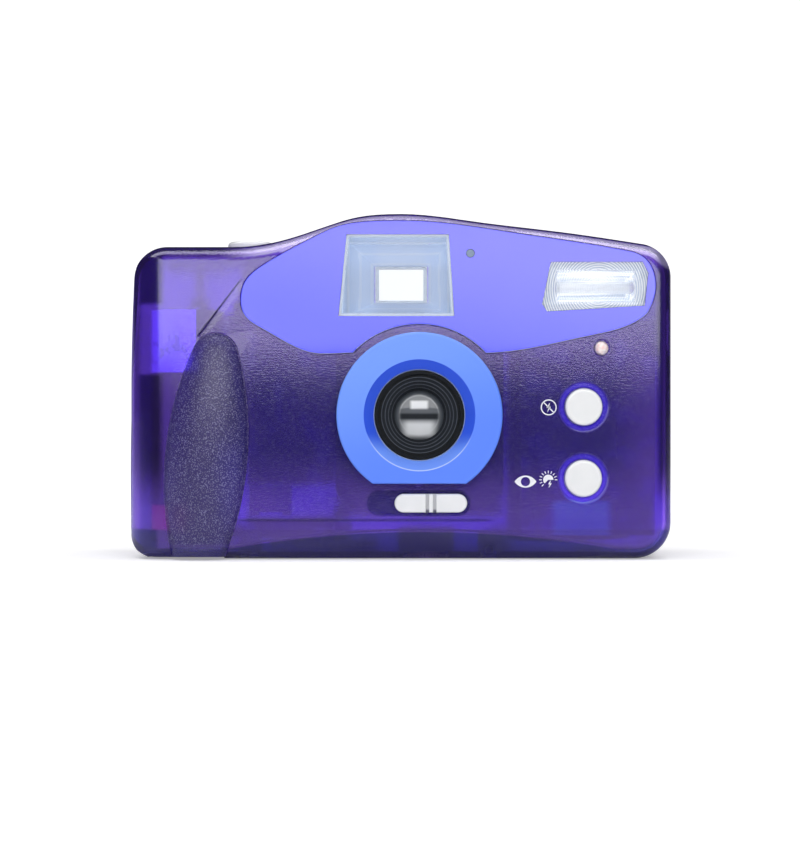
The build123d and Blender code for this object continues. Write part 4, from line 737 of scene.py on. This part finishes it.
# The release button returns on a small spring, wound from steel wire and seated inside the shell under
# the button. In the camera it shortens by as much as the button travels; here it is a fixed coil on the body.
SPRING_WIRE = 0.5 * MM
SPRING_TURNS, TURN_STEPS = 5, 24
spring_low, spring_high = (Vector(corner_shade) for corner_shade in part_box("shutter_button_spring"))
spring_middle = (spring_low + spring_high) / 2
spring_tall = spring_high.z - spring_low.z
winding_r = (spring_high.x - spring_low.x - SPRING_WIRE) / 2
steps = SPRING_TURNS * TURN_STEPS
coil = bmesh.new()
bmesh.ops.create_circle(coil, cap_ends=True, segments=8, radius=SPRING_WIRE / 2)
bmesh.ops.rotate(coil, cent=(0, 0, 0), matrix=Matrix.Rotation(math.radians(90), 3, "X"), verts=coil.verts)
start = (spring_middle.x + winding_r, spring_middle.y, spring_low.z + SPRING_WIRE / 2)
bmesh.ops.translate(coil, vec=start, verts=coil.verts)
bmesh.ops.spin(coil, geom=[*coil.verts, *coil.edges, *coil.faces], cent=spring_middle, axis=(0, 0, 1),
               dvec=(0, 0, (spring_tall - SPRING_WIRE) / steps), angle=math.tau * SPRING_TURNS, steps=steps)
bmesh.ops.recalc_face_normals(coil, faces=coil.faces)
coil_mesh = bpy.data.meshes.new("button_return_spring")
coil.to_mesh(coil_mesh)
coil.free()
coil_mesh.materials.append(steel.material)
button_spring = bpy.data.objects.new("button_return_spring", coil_mesh)
bpy.context.scene.collection.objects.link(button_spring)
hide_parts("shutter_button_spring")
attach(button_spring, "camera_body")
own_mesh(button_spring)


# The flash reflector is a moulded trough with a bright metal coat, laid on in a vacuum. Its flange fills
# the opening behind the flash window.
mirror = Finish("mirror_reflector", {"Metallic": 0.15, "Roughness": 0.2})
lines = mirror.noise(0.7, detail=1.0, stretch=(0.04, 1, 1)).above(0.5, 0.3)
mirror.feed("Base Color", mirror.blend(lines, (0.72, 0.78, 0.86), (0.99, 0.99, 1.0)))
# Painted light: the reflector is given a glow, brighter along its fine streaks.
mirror.glow(mirror.blend(lines, (0.12, 0.14, 0.18), (0.42, 0.42, 0.44)))
mirror.bump(lines * 0.1)
mirror.on("flash_reflector")


# The flash tube is clear glass filled with gas, with a metal cap at each end. It lies across the
# reflector.
tube = Finish("tube_glass", {"Roughness": 0.05, "IOR": 1.5, "Alpha": 0.5})
tube.feed("Base Color", tube.blend(tube.noise(2.0), (0.88, 0.92, 0.97), (1.0, 1.0, 1.0)))
tube.on("flash_tube")


# The tripod bush is turned from brass and pressed into the base, where it takes the screw of a stand.
# It has dulled a little unevenly.
brass = Finish("bush_brass", {"Metallic": 1.0})
brass.feed("Base Color", brass.blend(brass.noise(0.6), (0.62, 0.42, 0.16), (0.75, 0.56, 0.26)))
brass.feed("Roughness", 0.24 + 0.12 * brass.noise(0.4))
brass.on("tripod_bush")


# The flash capacitor is a metal can in a shrunk black sleeve. It lies between the viewfinder and the
# flash, where the charge is used.
sleeve = Finish("capacitor_can", {"Roughness": 0.35})
sleeve.feed("Base Color", sleeve.blend(sleeve.noise(2.0), (0.01, 0.01, 0.015), (0.03, 0.03, 0.04)))
sleeve.on("flash_capacitor")


# The circuit board is glass fibre with etched copper under a green mask, and its parts are soldered on.
# It stands behind the buttons. Its bare lower end is painted blue-green, and it and patches across the board
# are given a glow as painted light, so that they show through the shell.
BARE_BOARD_X, BARE_BOARD_Z = (34.0, 46.4), 12.6
board = Finish("green_board", {"Roughness": 0.3})
copper = board.cells(2.4, feature="DISTANCE_TO_EDGE").above(0.12, 0.05)
masked = board.blend(copper * 0.6, (0.01, 0.05, 0.05), (0.02, 0.12, 0.10))
bare = (1 - board.z.above(BARE_BOARD_Z, 1.5)) * board.x.between(*BARE_BOARD_X, 2.5)
board.feed("Base Color", board.blend(bare, masked, (0.06, 0.62, 0.60)))
glow_patches = board.noise(5.0, detail=1.0).above(0.55, 0.2)
dim_light = board.blend(glow_patches, (0.004, 0.002, 0.02), (0.03, 0.015, 0.13))
board.glow(board.blend(bare, dim_light, (0.015, 0.26, 0.22)))
board.on("circuit_board")


# The flash charger's transformer is a small core, wound with fine wire and wrapped in pale tape.
# It stands low behind the face.
WINDING = 14.0
core = Finish("wound_core", {"Roughness": 0.5})
core.feed("Base Color", core.blend(core.noise(1.0), (0.65, 0.62, 0.60), (0.85, 0.84, 0.84)))
core.bump(core.maths("SINE", core.z * WINDING) * 0.05)
core.on("trigger_transformer")


# Floor and backdrop of a plain studio, painted matt white. The viewer sees them as pure white, apart
# from the soft shadow round the piece, and its glossy parts mirror them dimly.
FLOOR_NEAR, FLOOR_FAR, FLOOR_SIDE = -1.2, 2.4, 2.6
DIM_FROM, WHITE_FROM = -150.0, 120.0
ROOM_MIRRORED = 0.06
MIRRORED_WHITE = 0.2
FLOOR_Z = -0.0002
WALL_TALL = 0.75
SHADOW_ZONE = (0.07, 0.30)
SHADOW_GLOW = 0.34
floor_mesh = bmesh.new()
bmesh.ops.create_grid(floor_mesh, x_segments=1, y_segments=1, size=1.0)
bmesh.ops.scale(floor_mesh, vec=(FLOOR_SIDE, (FLOOR_FAR - FLOOR_NEAR) / 2, 1), verts=floor_mesh.verts)
bmesh.ops.translate(floor_mesh, vec=(0, (FLOOR_FAR + FLOOR_NEAR) / 2, FLOOR_Z), verts=floor_mesh.verts)
back_edge = [edge for edge in floor_mesh.edges if all(vert.co.y > FLOOR_FAR - MM for vert in edge.verts)]
wall = bmesh.ops.extrude_edge_only(floor_mesh, edges=back_edge)["geom"]
wall_top = [part for part in wall if isinstance(part, bmesh.types.BMVert)]
bmesh.ops.translate(floor_mesh, vec=(0, 0, WALL_TALL), verts=wall_top)
floor_data = bpy.data.meshes.new("studio_floor")
floor_mesh.to_mesh(floor_data)
floor_mesh.free()
floor = bpy.data.objects.new("studio_floor", floor_data)
bpy.context.scene.collection.objects.link(floor)
pale = Finish("studio_floor", {"Base Color": (0.84, 0.84, 0.85, 1), "Roughness": 0.9})
away = ((pale.x * pale.x + pale.y * pale.y) ** 0.5) * MM
fade = pale.node("ShaderNodeMapRange", {"interpolation_type": "SMOOTHSTEP"},
                 {"Value": away, "From Min": SHADOW_ZONE[0], "From Max": SHADOW_ZONE[1]})
camera_ray, glossy_ray, through_ray, scattered = (
    pale.node("ShaderNodeLightPath", {}, {}, kind)
    for kind in ("Is Camera Ray", "Is Glossy Ray", "Is Transmission Ray", "Diffuse Depth"))
straight = through_ray * (1 - pale.maths("MINIMUM", scattered, 1.0))
behind = glossy_ray * pale.y.above(WHITE_FROM, 150.0) * MIRRORED_WHITE
seen = pale.maths("MAXIMUM", pale.maths("MAXIMUM", camera_ray, straight), behind)
pale.glow(pale.blend(seen * (SHADOW_GLOW + fade * (1 - SHADOW_GLOW)), (0, 0, 0), (1, 1, 1)))
dark_room = pale.node("ShaderNodeEmission", {}, {"Color": (1, 1, 1, 1), "Strength": ROOM_MIRRORED})
surface = Wire(pale, pale.shader.outputs[0])
mirrored_front = glossy_ray * (1 - pale.y.above(DIM_FROM, 90.0))
mixed = pale.node("ShaderNodeMixShader", {}, {0: mirrored_front, 1: surface, 2: dark_room})
pale.tree.links.new(mixed.socket, pale.tree.nodes["Material Output"].inputs["Surface"])
floor_data.materials.append(pale.material)


# Beyond the floor the viewer sees white, also through clear windows. The rest of the light that comes
# from there is that of a dim room. Two large soft boxes light the front and the top.
ROOM_LIGHT = 0.22
world = bpy.data.worlds.new("studio")
bpy.context.scene.world = world
world.use_nodes = True
sky = world.node_tree


def sky_maths(operation, *terms):
    """One step of arithmetic in the world's nodes."""
    step = sky.nodes.new("ShaderNodeMath")
    step.operation = operation
    for slot, term in enumerate(terms):
        if isinstance(term, float):
            step.inputs[slot].default_value = term
        else:
            sky.links.new(term, step.inputs[slot])
    return step.outputs[0]


paths = sky.nodes.new("ShaderNodeLightPath").outputs
unscattered = sky_maths("SUBTRACT", 1.0, sky_maths("MINIMUM", paths["Diffuse Depth"], 1.0))
one_window = sky_maths("LESS_THAN", paths["Transmission Depth"], 2.5)
through_one = sky_maths("MULTIPLY", paths["Is Transmission Ray"], one_window)
straight_through = sky_maths("MULTIPLY", through_one, unscattered)
open_view = sky_maths("MAXIMUM", paths["Is Camera Ray"], straight_through)
dim = sky_maths("MULTIPLY_ADD", paths["Is Glossy Ray"], ROOM_MIRRORED - ROOM_LIGHT, ROOM_LIGHT)
strength = sky_maths("MAXIMUM", open_view, dim)
sky.links.new(strength, sky.nodes["Background"].inputs["Strength"])
sky.nodes["Background"].inputs["Color"].default_value = (1, 1, 1, 1)


def soft_box(name, at, aim, size, watts):
    """Rectangular lamp that faces a point."""
    lamp = bpy.data.lights.new(name, "AREA")
    lamp.shape = "RECTANGLE"
    lamp.size, lamp.size_y = size
    lamp.energy = watts
    holder = bpy.data.objects.new(name, lamp)
    holder.location = at
    holder.rotation_euler = (Vector(aim) - Vector(at)).to_track_quat("-Z", "Y").to_euler()
    holder.visible_camera = False
    holder.visible_transmission = False
    bpy.context.scene.collection.objects.link(holder)


soft_box("key_box", at=(0.0, -0.65, 0.345), aim=(0, 0, 0.04), size=(0.95, 0.33), watts=3.75)
soft_box("top_strip", at=(0.0, 0.0, 0.55), aim=(0, 0, 0.05), size=(0.9, 0.22), watts=2.4)
